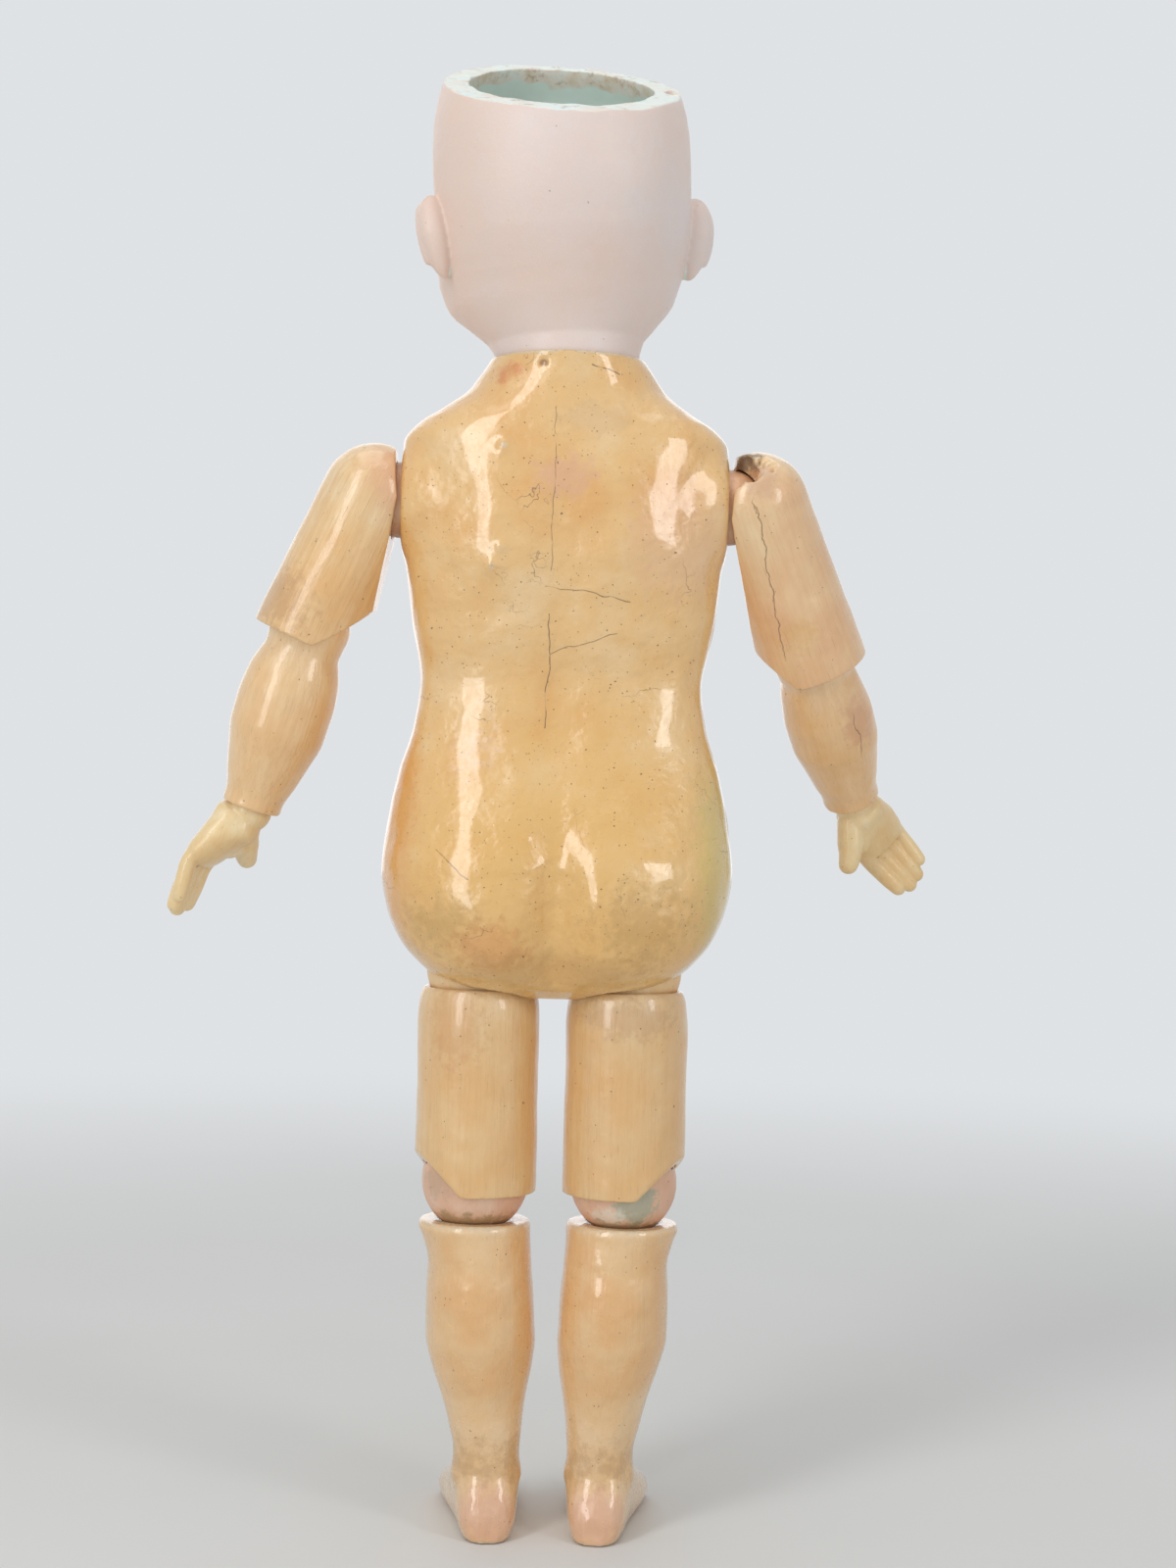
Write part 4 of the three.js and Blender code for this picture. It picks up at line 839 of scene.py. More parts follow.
def faceRelief(x, z):  # how far the face stands out from the plain round of the head
    side, tall, wide = np.abs(x), head["tall"], head["halfWide"]
    out = head["noseOut"] * bell(x, 0.115 * wide) * bell(z - 0.262 * tall, 0.036 * tall)
    out += 0.45 * head["noseOut"] * bell(x, 0.1 * wide) * bell(z - 0.335 * tall, 0.06 * tall)
    out += 1.2 * bell(side - 2.9, 1.3) * bell(z - 0.25 * tall, 1.7)  # nostril wings
    out -= 0.9 * bell(side - 1.6, 0.7) * bell(z - 0.222 * tall, 0.8)
    out -= 0.35 * bell(x, 0.7) * bell(z - 17.0, 0.9)  # the groove over the lip
    out += head["lipOut"] * bell(x, 0.17 * wide) * bell(z - head["mouthRise"] - 0.8 * head["mouthTall"],
            1.5)
    out += head["lipOut"] * bell(x, 0.15 * wide) * bell(z - head["mouthRise"] + 0.8 * head["mouthTall"],
            1.5)
    out -= 0.5 * bell(x, 3.4) * bell(z - 9.4, 1.0)
    out += head["chinOut"] * bell(x, 0.24 * wide) * bell(z - 0.1 * tall, 0.05 * tall)
    out += head["cheekOut"] * bell(side - 0.48 * wide, 0.25 * wide) * bell(z - 0.22 * tall, 0.09 * tall)
    near = np.hypot((side - head["eyeApart"] / 2) / (0.5 * head["lidWide"]), (z - head["eyeRise"]) / 3.6)
    out -= head["eyeDent"] * bell(side - head["eyeApart"] / 2,
            0.7 * head["lidWide"]) * bell(z - head["eyeRise"], 5)
    out += 0.5 * bell(near - 1.22, 0.2)  # rolled edges of the lids
    out += 0.35 * bell(side - 10.5, 6) * bell(z - 38.5, 2.6)
    return out


def crownHeight(points):  # over the ground-off plane of the crown
    slope = rad(head["crownSlope"])
    return points[:, 1] * math.sin(slope) + (points[:, 2] - head["crownRise"]) * math.cos(slope)


def headLoft(inset, count, levels):
    round_ = head["neckRound"] - inset
    rings = []
    for a in np.linspace(8, 90, 14):
        out = round_ * math.sin(rad(a))
        rings.append(oval(0, 0, -round_ * math.cos(rad(a)), out, out, out, 1.0, count))
    for rise, wide, front, back in throughRows(head["rows"], levels):
        z = rise * head["tall"]
        ahead = head["jawAhead"] * float(bell(rise - 0.18, 0.13))
        ring = oval(0, -ahead, z, wide * head["halfWide"] - inset, front * head["front"] - inset - ahead,
                    back * head["back"] - inset + ahead, 1.0, count)
        if inset == 0:
            forward = -np.sin(turns(count))
            ring[:, 1] -= np.where(forward > 0, faceRelief(ring[:, 0], z) * ease(0, 0.3, forward), 0)
        else:  # the wall grows towards the rim of the crown
            lip = head["lip"] * ease(-9, -2, crownHeight(ring))
            ring[:, :2] *= (1 - lip / np.hypot(ring[:, 0], ring[:, 1]))[:, None]
        rings.append(ring)
    return loft("head", rings, (0, 0, -round_), (0, 0, rings[-1][0][2] + 1.5))


def earOf(way):
    wide, deep, tall = head["earThick"] / 2, head["earDeep"] / 2, head["earTall"] / 2
    ear = ballOf(1, (0, 0, 0), (wide, deep * 0.98, tall))
    points, _ = pointsOf(ear)
    low = np.clip(-points[:, 2] / tall, 0, 1)  # the shell narrows smoothly into the lobe
    setPoints(ear, points * np.column_stack([1 - 0.3 * low, 1 - 0.28 * low, np.ones(len(points))]))
    curl = [(2.2 + 0.5 * math.cos(rad(a)), 0.6 * deep * math.cos(rad(a)) - 0.5,
            0.74 * tall * math.sin(rad(a)) + 0.5)
            for a in range(-50, 215, 12)]
    thick = [1.2 - 0.35 * i / len(curl) for i in range(len(curl))]
    addTo(ear, tubeOf(curl, thick))
    carve(ear, ballOf(1, (4.1, -1.2, 0.6), (2.4, 2.7, 4.4)), ballOf(1, (3.7, -0.8, -3.4), (1.8, 1.5, 2.6)))
    if way < 0:
        ear.data.transform(Matrix.Diagonal((-1, 1, 1, 1)))
        ear.data.flip_normals()
    turn = Matrix.Rotation(-way * 0.5, 4, "Z") @ Matrix.Rotation(way * 0.16, 4, "Y")
    spot = Matrix.Translation((way * head["halfWide"], 0.16 * head["earDeep"], 0.347 * head["tall"]))
    ear.data.transform(spot @ turn)
    return ear


def lidOpening(x):
    turn = turns(64)
    rings = []
    for y, grow in ((-44, 1.12), (-30, 1.04), (-24, 1.0), (-18, 0.9)):
        wide, tall = head["lidWide"] / 2 * grow, head["lidTall"] / 2 * grow
        up = np.sign(np.sin(turn)) * np.abs(np.sin(turn)) ** 1.25
        up = np.where(up > 0, up * 0.86, up * 0.82)
        rings.append(np.column_stack([x + wide * np.cos(turn), np.full(64, float(y)),
                head["eyeRise"] + tall * up]))
    return loft("lids", rings, (x, -44, head["eyeRise"]), (x, -18, head["eyeRise"]))


def makeHead():
    body = headLoft(0, 240, 170)
    addTo(body, earOf(1), earOf(-1))
    carve(body, headLoft(head["wall"], 96, 60), ballOf(head["buttonRound"] + torso["fit"]))
    for way in (-1, 1):
        x = way * head["eyeApart"] / 2
        carve(body, lidOpening(x), ballOf(head["eyeRound"] + 0.3, (x, -head["eyeBackset"],
                head["eyeRise"])))
    carve(body, ballOf(1, (0, -head["front"], head["mouthRise"]), (head["mouthWide"] / 2, 10,
            head["mouthTall"] / 2)))
    carve(body, rodOf((0, 0, -40), (0, 0, 0), head["neckHole"]))
    crown = blockOf((-60, -60, 0), (60, 60, 60))
    crown.data.transform(Matrix.Translation((0, 0, head["crownRise"] - 0.2))
                         @ Matrix.Rotation(-rad(head["crownSlope"]), 4, "X"))
    carve(body, crown)
    chip = ballOf(2.0, (-24.6, 7.5, 58.2), (1, 1.6, 0.8), 24)
    carve(body, chip)
    soften(body, head["voxel"], 3)
    points, normals = pointsOf(body)
    above = crownHeight(points)
    onRim = ease(-0.7, -0.25, above)
    lift = waver(points, 14, 0.16, 11)
    setPoints(body, points + normals * (lift * (1 - onRim))[:, None]
              + np.outer(onRim * (waver(points, 5, 0.35, 12) - 0.15), (0, math.sin(rad(head["crownSlope"])),
                      math.cos(rad(head["crownSlope"])))))
    points, normals = pointsOf(body)
    x, y, z = points.T
    middleY = np.where(z > 0, -2.0, 0)
    outward = np.column_stack([x, y - middleY, np.zeros(len(x))])
    outward /= np.maximum(np.linalg.norm(outward, axis=1), 1e-6)[:, None]
    facing = np.sum(outward * normals, axis=1)
    reach = np.hypot(x / (head["halfWide"] - 2), (y + 1) / (head["front"] - 3))
    fromEye = np.hypot((np.abs(x) - head["eyeApart"] / 2) / 7.5, (z - head["eyeRise"]) / 4.6)
    opening = (y < -16) * (fromEye < 1) + (y < -15) * (np.abs(x) < 5.4) * (np.abs(z - head["mouthRise"]) < 2)
    setMask(body, "inside", ease(0.1, -0.2, facing) * (reach < 1.02) * (z > -8) * (opening == 0))
    setMask(body, "rim", onRim * (1 - ease(0.75, 0.5, normals[:, 2] + 0.2)))
    drips = waver(points, 5, 2.4, 13) + waver(points, 1.8, 0.7, 14)
    setMask(body, "collar", ease(0.1, -0.2, facing) * ease(-4.6, -3.4, above + drips))
    front = (y < -8) * ease(0.0, 0.15, facing)
    bow = 15.9 - 0.45 * bell(x, 0.8) - 0.085 * x**2
    low = 10.9 + 0.08 * x**2
    lips = ease(-0.3, 0.35, bow - z) * ease(-0.3, 0.35, z - low) * ease(5.0, 4.4, np.abs(x)) * (y < -15)
    setMask(body, "lips", lips)
    setMask(body, "blush", bell(np.abs(x) - 15.5, 7.5) * bell(z - 19, 7) * front + 0.3 * bell(x,
            5) * bell(z - 5, 3) * front)
    dots = bell(np.hypot(np.abs(x) - 1.5, z - 17.5), 0.5) + bell(np.hypot(np.abs(x) - 4.9, z - 30.3), 0.5)
    setMask(body, "dots", dots * front)
    markEdges(body, 5)
    return body


def bisque(name):
    made, tree, shader, where = newMaterial(name, {"roughness": 0.5, "under": 0.12})
    tone = toned(tree, where, 0.035, colour(230, 212, 203), colour(231, 204, 188), colour(227, 216, 213),
            0.7)
    warmSide = useGroup(tree, patchGroup, Vector=where, Place=(30, 4, 30), Reach=(15, 30, 34), Ragged=0.1,
            Soft=0.7)["Mask"]
    tone = layer(tree, tone, warmSide, 0.45, colour(234, 200, 176))
    blush = times(tree, attribute(tree, "blush"), 0.5)
    tone = over(tree, blush, tone, colour(226, 146, 126))
    sand = noiseOf(tree, where, 3.2, 2, 0.6)
    tone = layer(tree, tone, between(tree, sand, 0.5, 0.72), 0.22, colour(240, 230, 224))
    for scale, size, share, strength in ((0.22, 0.07, 0.12, 0.7), (0.6, 0.12, 0.07, 0.5)):
        pits = useGroup(tree, dustPits, Vector=where, Scale=scale, Size=size, Share=share)["Mask"]
        tone = layer(tree, tone, pits, strength, colour(126, 88, 68))
    tone = layer(tree, tone, attribute(tree, "dots"), 0.8, colour(178, 76, 62))
    tone = layer(tree, tone, attribute(tree, "lips"), 0.85, colour(190, 84, 72))
    inner = toned(tree, where, 0.06, colour(222, 238, 231), colour(222, 230, 214), colour(234, 245, 240),
            0.8)
    tone = over(tree, attribute(tree, "inside"), tone, inner)
    crust = toned(tree, where, 0.25, colour(236, 226, 214), colour(216, 194, 164), colour(230, 238, 232),
            0.9)
    tone = layer(tree, tone, attribute(tree, "collar"), 0.9, crust)
    glaze = toned(tree, where, 0.12, colour(226, 234, 228), colour(230, 218, 202), colour(216, 236, 236),
            0.9)
    tone = layer(tree, tone, attribute(tree, "rim"), 0.9, glaze)
    glued = calc(tree, "MAXIMUM", attribute(tree, "rim"), attribute(tree, "collar"))
    glue = useGroup(tree, brokenEdge, Vector=where, Where=glued, Amount=0.03, Scale=0.3)["Mask"]
    tone = layer(tree, tone, glue, 0.6, colour(172, 134, 92))
    grime = useGroup(tree, brokenEdge, Vector=where, Where=attribute(tree, "hollow"), Amount=0.3,
            Scale=0.6)["Mask"]
    tone = layer(tree, tone, grime, 0.35, colour(150, 112, 94))
    tree.links.new(tone, shader.inputs["Base Color"])
    rough = between(tree, noiseOf(tree, where, 0.3, 3), 0.35, 0.7, 0.44, 0.56)
    rough = calc(tree, "SUBTRACT", rough, times(tree, attribute(tree, "lips"), 0.2))
    tree.links.new(rough, shader.inputs["Roughness"])
    giveRelief(tree, shader, [(sand, 0.035), (noiseOf(tree, where, 0.5, 3), 0.12), (glue, 0.12)])
    return made


headBody = makeHead()
headShape = BVHTree.FromObject(headBody, bpy.context.evaluated_depsgraph_get())


def paintStrokes(strokes, thick=0.035):  # flat ribbons of paint that lie on the face
    points, faces = [], []
    for stroke in strokes:
        rows = []
        for i, (x, z, half) in enumerate(stroke):
            nx, nz = stroke[min(i + 1, len(stroke) - 1)][:2]
            px, pz = stroke[max(i - 1, 0)][:2]
            way = Vector((nx - px, nz - pz)).normalized()
            row = []
            for edge in (-1, 0, 1):
                spot = Vector((x - way.y * half * edge, -60, z + way.x * half * edge))
                hit, normal, _, _ = headShape.ray_cast(spot, Vector((0, 1, 0)))
                if hit is None:
                    break
                row.append(hit + normal * (thick if edge == 0 else 0.012))
            if len(row) == 3:
                rows.append(row)
        start = len(points)
        points += [p for row in rows for p in row]
        for i in range(len(rows) - 1):
            a = start + 3 * i
            faces += [(a, a + 1, a + 4, a + 3), (a + 1, a + 2, a + 5, a + 4)]
    mesh = bpy.data.meshes.new("strokes")
    mesh.from_pydata([tuple(p) for p in points], [], faces)
    made = bpy.data.objects.new("strokes", mesh)
    bpy.context.scene.collection.objects.link(made)
    return made


def browStrokes(way):
    dice = random.Random(4 + way)
    strokes = []
    for i in range(34):
        share = i / 33
        x = 4.6 + 12.4 * share
        z = 37.0 + 2.7 * math.sin(math.pi * (0.12 + 0.8 * share)) - 0.9 * share
        lean = 0.9 - 1.5 * share + dice.uniform(-0.12, 0.12)
        long = (1.5 + 0.9 * math.sin(math.pi * share)) * dice.uniform(0.85, 1.15)
        line = []
        for t in np.linspace(0, 1, 6):
            half = 0.17 * math.sin(math.pi * min(0.15 + t, 1)) + 0.02
            line.append((way * (x + long * t * math.cos(lean) * 1.1),
                    z - 0.5 + long * t * math.sin(lean) * 0.8, half))
        strokes.append(line)
    return strokes


def lashStrokes(way):
    dice = random.Random(9 + way)
    strokes = []
    middleX, middleZ = head["eyeApart"] / 2, head["eyeRise"]
    for low, high, count, long, drop in ((18, 162, 19, 1.7, 1.0), (198, 342, 17, 1.35, 0.86)):
        for i in range(count):
            a = rad(low + (high - low) * (i + dice.uniform(-0.15, 0.15)) / (count - 1))
            up = math.copysign(abs(math.sin(a)) ** 1.25, math.sin(a)) * drop
            x, z = (head["lidWide"] / 2 + 0.45) * math.cos(a), (head["lidTall"] / 2 + 0.45) * up
            wayX, wayZ = 0.55 * math.cos(a) - 0.25, math.sin(a) * 0.9
            line = [(way * (middleX - (x + wayX * long * t)), middleZ + z + wayZ * long * t,
                    0.13 * (1 - t) + 0.03)
                    for t in np.linspace(0, 1, 5)]
            strokes.append(line)
    return strokes


paint = newMaterial("facePaint", {"roughness": 0.45})
linePaint = paint[0]
paint[1].links.new(toned(paint[1], paint[3], 0.5, colour(116, 74, 50), colour(96, 58, 40), colour(134, 90,
        62), 1.0), paint[2].inputs["Base Color"])
for label, maker in (("Brow", browStrokes), ("Lashes", lashStrokes)):
    for name, way in sides.items():
        place(paintStrokes(maker(way)), "painted" + label + name.title(), headPlace, "head", [], linePaint)
place(headBody, "bisqueHeadSkin", headPlace, "head", ["bisque_head"], bisque("bisque"))

print("eyes")
eyes = {"iris": 30, "pupil": 12.5, "lidEdge": 36}
eyesPlace = headPlace @ Matrix.Translation((0, -head["eyeBackset"], head["eyeRise"]))


def glassEye():
    eye = ballOf(head["eyeRound"] - 0.02, count=96)
    points, _ = pointsOf(eye)
    angle = np.degrees(np.arccos(np.clip(-points[:, 1] / head["eyeRound"], -1, 1)))
    setPoints(eye, points * (1 + 0.035 * bell(angle, 24))[:, None])
    return eye


def eyeGlass(name):
    made, tree, shader, where = newMaterial(name, {"roughness": 0.12, "coat": 0.4, "coatRoughness": 0.02})
    part = tree.nodes.new("ShaderNodeSeparateXYZ")
    unit = aim(tree, "NORMALIZE", where)
    tree.links.new(unit, part.inputs[0])
    angle = times(tree, calc(tree, "ARCCOSINE", times(tree, part.outputs[1], -1.0)), 57.3)
    spoke = tree.nodes.new("ShaderNodeCombineXYZ")
    tree.links.new(times(tree, calc(tree, "ARCTAN2", part.outputs[0], part.outputs[2]), 9.0),
            spoke.inputs[0])
    tree.links.new(times(tree, angle, 0.05), spoke.inputs[1])
    threads = noiseOf(tree, spoke.outputs[0], 1.6, 3, 0.6)
    iris = over(tree, between(tree, threads, 0.35, 0.68), colour(70, 96, 118), colour(150, 172, 182))
    iris = over(tree, between(tree, angle, eyes["iris"] - 7, eyes["iris"]), iris, colour(34, 48, 62))
    white = toned(tree, where, 0.2, colour(232, 230, 224), colour(226, 218, 208), colour(224, 228, 230),
            0.6)
    tone = over(tree, between(tree, angle, eyes["iris"] + 0.8, eyes["iris"] - 0.8), white, iris)
    tone = over(tree, between(tree, angle, eyes["pupil"] + 0.8, eyes["pupil"] - 0.8), tone, colour(12, 11,
            12))
    rise = times(tree, calc(tree, "ARCTAN2", part.outputs[2], times(tree, part.outputs[1], -1.0)), 57.3)
    lid = between(tree, rise, eyes["lidEdge"] - 1, eyes["lidEdge"] + 1)
    tone = over(tree, lid, tone, colour(214, 176, 164))
    edge = times(tree, lid, between(tree, rise, eyes["lidEdge"] + 4.5, eyes["lidEdge"] + 3))
    tone = over(tree, edge, tone, colour(104, 66, 46))
    tree.links.new(tone, shader.inputs["Base Color"])
    tree.links.new(between(tree, lid, 0, 1, 0.1, 0.5), shader.inputs["Roughness"])
    giveRelief(tree, shader, [(noiseOf(tree, where, 0.4, 2), 0.02)])
    return made


irisGlass = eyeGlass("paintedGlass")
for name, way in sides.items():
    spot = eyesPlace @ Matrix.Translation((way * head["eyeApart"] / 2, 0, 0))
    place(glassEye(), "glassEye" + name.title() + "Skin", spot, "eyes", ["glass_eye_" + name], irisGlass)
teethLow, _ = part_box("upper_teeth")
teeth = None
inward = (headPlace.inverted() @ (Vector(teethLow) * 1000)).y + 1.0
for i in range(-2, 3):
    tooth = ballOf(1, (i * 1.42, inward + 0.12 * i * i, 14.55), (0.74, 0.5, 0.95), 32)
    teeth = addTo(teeth, tooth) if teeth else tooth
enamel = newMaterial("enamel", {"roughness": 0.2, "coat": 0.3})
enamel[1].links.new(toned(enamel[1], enamel[3], 0.4, colour(240, 234, 220), colour(232, 220, 198),
        colour(242, 240, 232), 1.0),
                    enamel[2].inputs["Base Color"])
place(teeth, "upperTeethRow", headPlace, "head", ["upper_teeth"], enamel[0])


print("arms")


def notchOf(start, x, rimZ, rise, way, slope=49):  # the slanted cut that lets the next limb fold
    run = rise / math.tan(rad(slope))
    outline = [(start, rimZ - 40), (60, rimZ - 40), (60, rimZ + rise), (start + run, rimZ + rise), (start,
            rimZ)]
    side = Vector((-way.y, way.x, 0))
    points = [Vector((x, 0, 0)) + way * a + Vector((0, 0, z)) + side * s for s in (-40, 40) for a,
            z in outline]
    faces = [(0, 1, 2, 3, 4), (9, 8, 7, 6, 5)] + [(i, i + 5, (i + 1) % 5 + 5,
            (i + 1) % 5) for i in range(5)]
    return solidOf("notch", points, faces)


def slotOf(way, low, high, length, half=2.0):  # where the elastic swings through a ball
    made = None
    for turn in np.linspace(low, high, 9):
        end = way * (length * math.sin(rad(turn))) + Vector((0, 0, length * math.cos(rad(turn))))
        bar = rodOf((0, 0, 0), end, half, count=16)
        made = addTo(made, bar) if made else bar
    return made


def limbOf(x, z, round_, pairs, count=120):
    arcs = np.linspace(90, 2, 24)
    profile = [(z + round_ * math.sin(rad(a)), round_ * math.cos(rad(a))) for a in arcs]
    lower = throughRows([(-h, r) for h, r in pairs], 60)
    profile += [(-h, r) for h, r in lower]
    rings = [oval(x, 0, h, r, r, r, 1.0, count) for h, r in profile]
    return loft("limb", rings, (x, 0, z + round_), (x, 0, profile[-1][0]))


def finishLimb(body, rounds=3, wave=0.22, seed=1, voxel=None):
    soften(body, voxel or arm["voxel"], rounds)
    points, normals = pointsOf(body)
    lift = waver(points, 13, wave, seed) + waver(points, 4.5, wave * 0.3, seed + 1)
    setPoints(body, points + normals * (lift - wave * 0.25)[:, None])
    markEdges(body, 5)
    return body


skinTones = {
    "base": colour(236, 200, 148), "warm": colour(228, 178, 116), "pale": colour(240, 214, 172),
    "grime": colour(104, 72, 48), "bare": colour(222, 206, 178), "roughness": 0.28, "coat": 0.6,
    "coatRoughness": 0.1, "grain": 0.25, "grainColour": colour(216, 168, 112), "waver": 0.5, "cracks": 0.1,
            "crackWidth": 0.007,
}


def finishWith(name, **changes):
    return varnishedPaint(name, {**skinTones, **changes})


upperArmPaint = {
    "left": finishWith("upperArmPaintLeft", contrast=0.9, dirt=0.5, grain=0.38, patches=[
        {"at": (14, 4, -32), "reach": (9, 9, 7), "colour": colour(178, 128, 84), "strength": 0.45,
                "ragged": 0.8},
        {"at": (2, 6, 3), "reach": (8, 9, 7), "colour": colour(224, 168, 138), "strength": 0.5},
    ]),
    "right": finishWith("upperArmPaintRight", base=colour(236, 200, 154), warm=colour(228, 176, 130),
            patches=[
        {"at": (-6, 9, -30), "reach": (4, 6, 3.5), "colour": colour(214, 164, 84), "strength": 0.4,
                "ragged": 0.9},
        {"at": (-4, 2, 9.5), "reach": (6.5, 6, 4), "colour": colour(120, 96, 76), "strength": 0.85,
                "rough": 0.4,
         "ragged": 0.6, "soft": 0.25},
        {"at": (-9, 6, 4), "reach": (4, 5, 4), "colour": colour(196, 150, 126), "strength": 0.5},
    ], splits=[{"angle": 2.1, "lean": 0.012, "round": 11.5, "low": -36, "high": 4, "width": 0.13,
                 "strength": 0.42}]),
}
forearmPaint = {
    "left": finishWith("forearmPaintLeft", base=colour(240, 206, 158), warm=colour(232, 184, 126)),
    "right": finishWith("forearmPaintRight", base=colour(238, 200, 152), pale=colour(240, 210, 170),
            patches=[
        {"at": (-6, 6, -16), "reach": (4, 6, 6), "colour": colour(200, 138, 112), "strength": 0.4,
                "ragged": 0.8}],
        splits=[{"angle": 2.2, "lean": 0.004, "round": 10, "low": -26, "high": -12, "width": 0.12,
                 "strength": 0.4}]),
}
handPaint = {
    name: finishWith("handPaint" + name.title(), base=colour(238, 211, 160), warm=colour(228, 188, 128),
                     pale=colour(243, 225, 186), grain=0.1, roughness=0.36, coat=0.4, dirt=0.62, wear=0.5,
                             waver=0.3,
                     grime=colour(150, 112, 72),
                     toneScale=0.09, pits=[(0.8, 0.16, 0.12, 0.7), (1.8, 0.2, 0.06, 0.6)])
    for name in sides
}
looseBallPaint = finishWith("looseBallPaint", base=colour(226, 176, 136), warm=colour(212, 154, 112),
                            pale=colour(236, 204, 172), roughness=0.4, coat=0.25, dirt=0.6, wear=0.6)


def bone(path, radii, steps=14, count=20):  # a rounded finger, toe or tendon
    line = curveThrough(path, steps)
    thick = throughRows([(i, r) for i, r in enumerate(radii)], steps)[:, 1]
    return tubeOf(line, thick, count)


hand = {
    "palmLong": 16.3, "palmWide": 14, "palmThick": 8.2, "fingerLong": 14.8, "fingerRound": 2, "curl": 6,
    "thumbRound": 2.7, "voxel": 0.25,
    "fingers": [(-0.37, 0.88, 1.0), (-0.125, 1.0, 1.02), (0.125, 0.94, 1.0), (0.36, 0.74, 0.88)],
}


def makeHand():
    long, wide, thick = hand["palmLong"], hand["palmWide"], hand["palmThick"]
    rows = [(0.1, 0.6, 0.34), (0.22, 0.74, 0.4), (0.42, 0.6, 0.46), (0.62, 0.52, 0.5), (0.84, 0.44, 0.5),
            (1.0, 0.34, 0.46)]
    rings = [oval(0, 0, -d * long, t * thick, w * wide, w * wide, 0.9, 48) for d, t, w in throughRows(rows,
            24)]
    body = loft("hand", rings, (0, 0, rings[0][0][2]), (0, 0, -1.03 * long))
    addTo(body, ballOf(arm["wristKnob"]))
    for aside, length, size in hand["fingers"]:
        y, r, reach = aside * wide, hand["fingerRound"] * size, length * hand["fingerLong"]
        path = [(0.3, y, -0.66 * long), (-0.1, y * 0.96, -0.86 * long - 0.2 * reach),
                (-0.42 * hand["curl"], y * 0.88, -0.86 * long - 0.62 * reach),
                (-0.74 * hand["curl"], y * 0.82, -0.86 * long - 0.91 * reach)]
        addTo(body, bone(path, [r * 0.9, r * 1.1, r * 1.1, r * 0.96]))
        addTo(body, ballOf(r * 0.9, (0.75, y, -0.83 * long), (0.8, 1, 1), 24))  # knuckle
    thumb = [(-0.1 * thick, -0.26 * wide, -0.24 * long), (-0.3 * thick, -0.48 * wide, -0.42 * long),
             (-0.44 * thick, -0.64 * wide, -0.53 * long), (-0.54 * thick, -0.79 * wide, -0.61 * long)]
    r = hand["thumbRound"]
    addTo(body, bone(thumb, [r * 1.2, r * 1.22, r * 1.05, r * 0.9]))
    addTo(body, ballOf(1, (-0.24 * thick, -0.34 * wide, -0.5 * long), (2.6, 3.6, 4.6),
            40))  # ball of the thumb
    return body


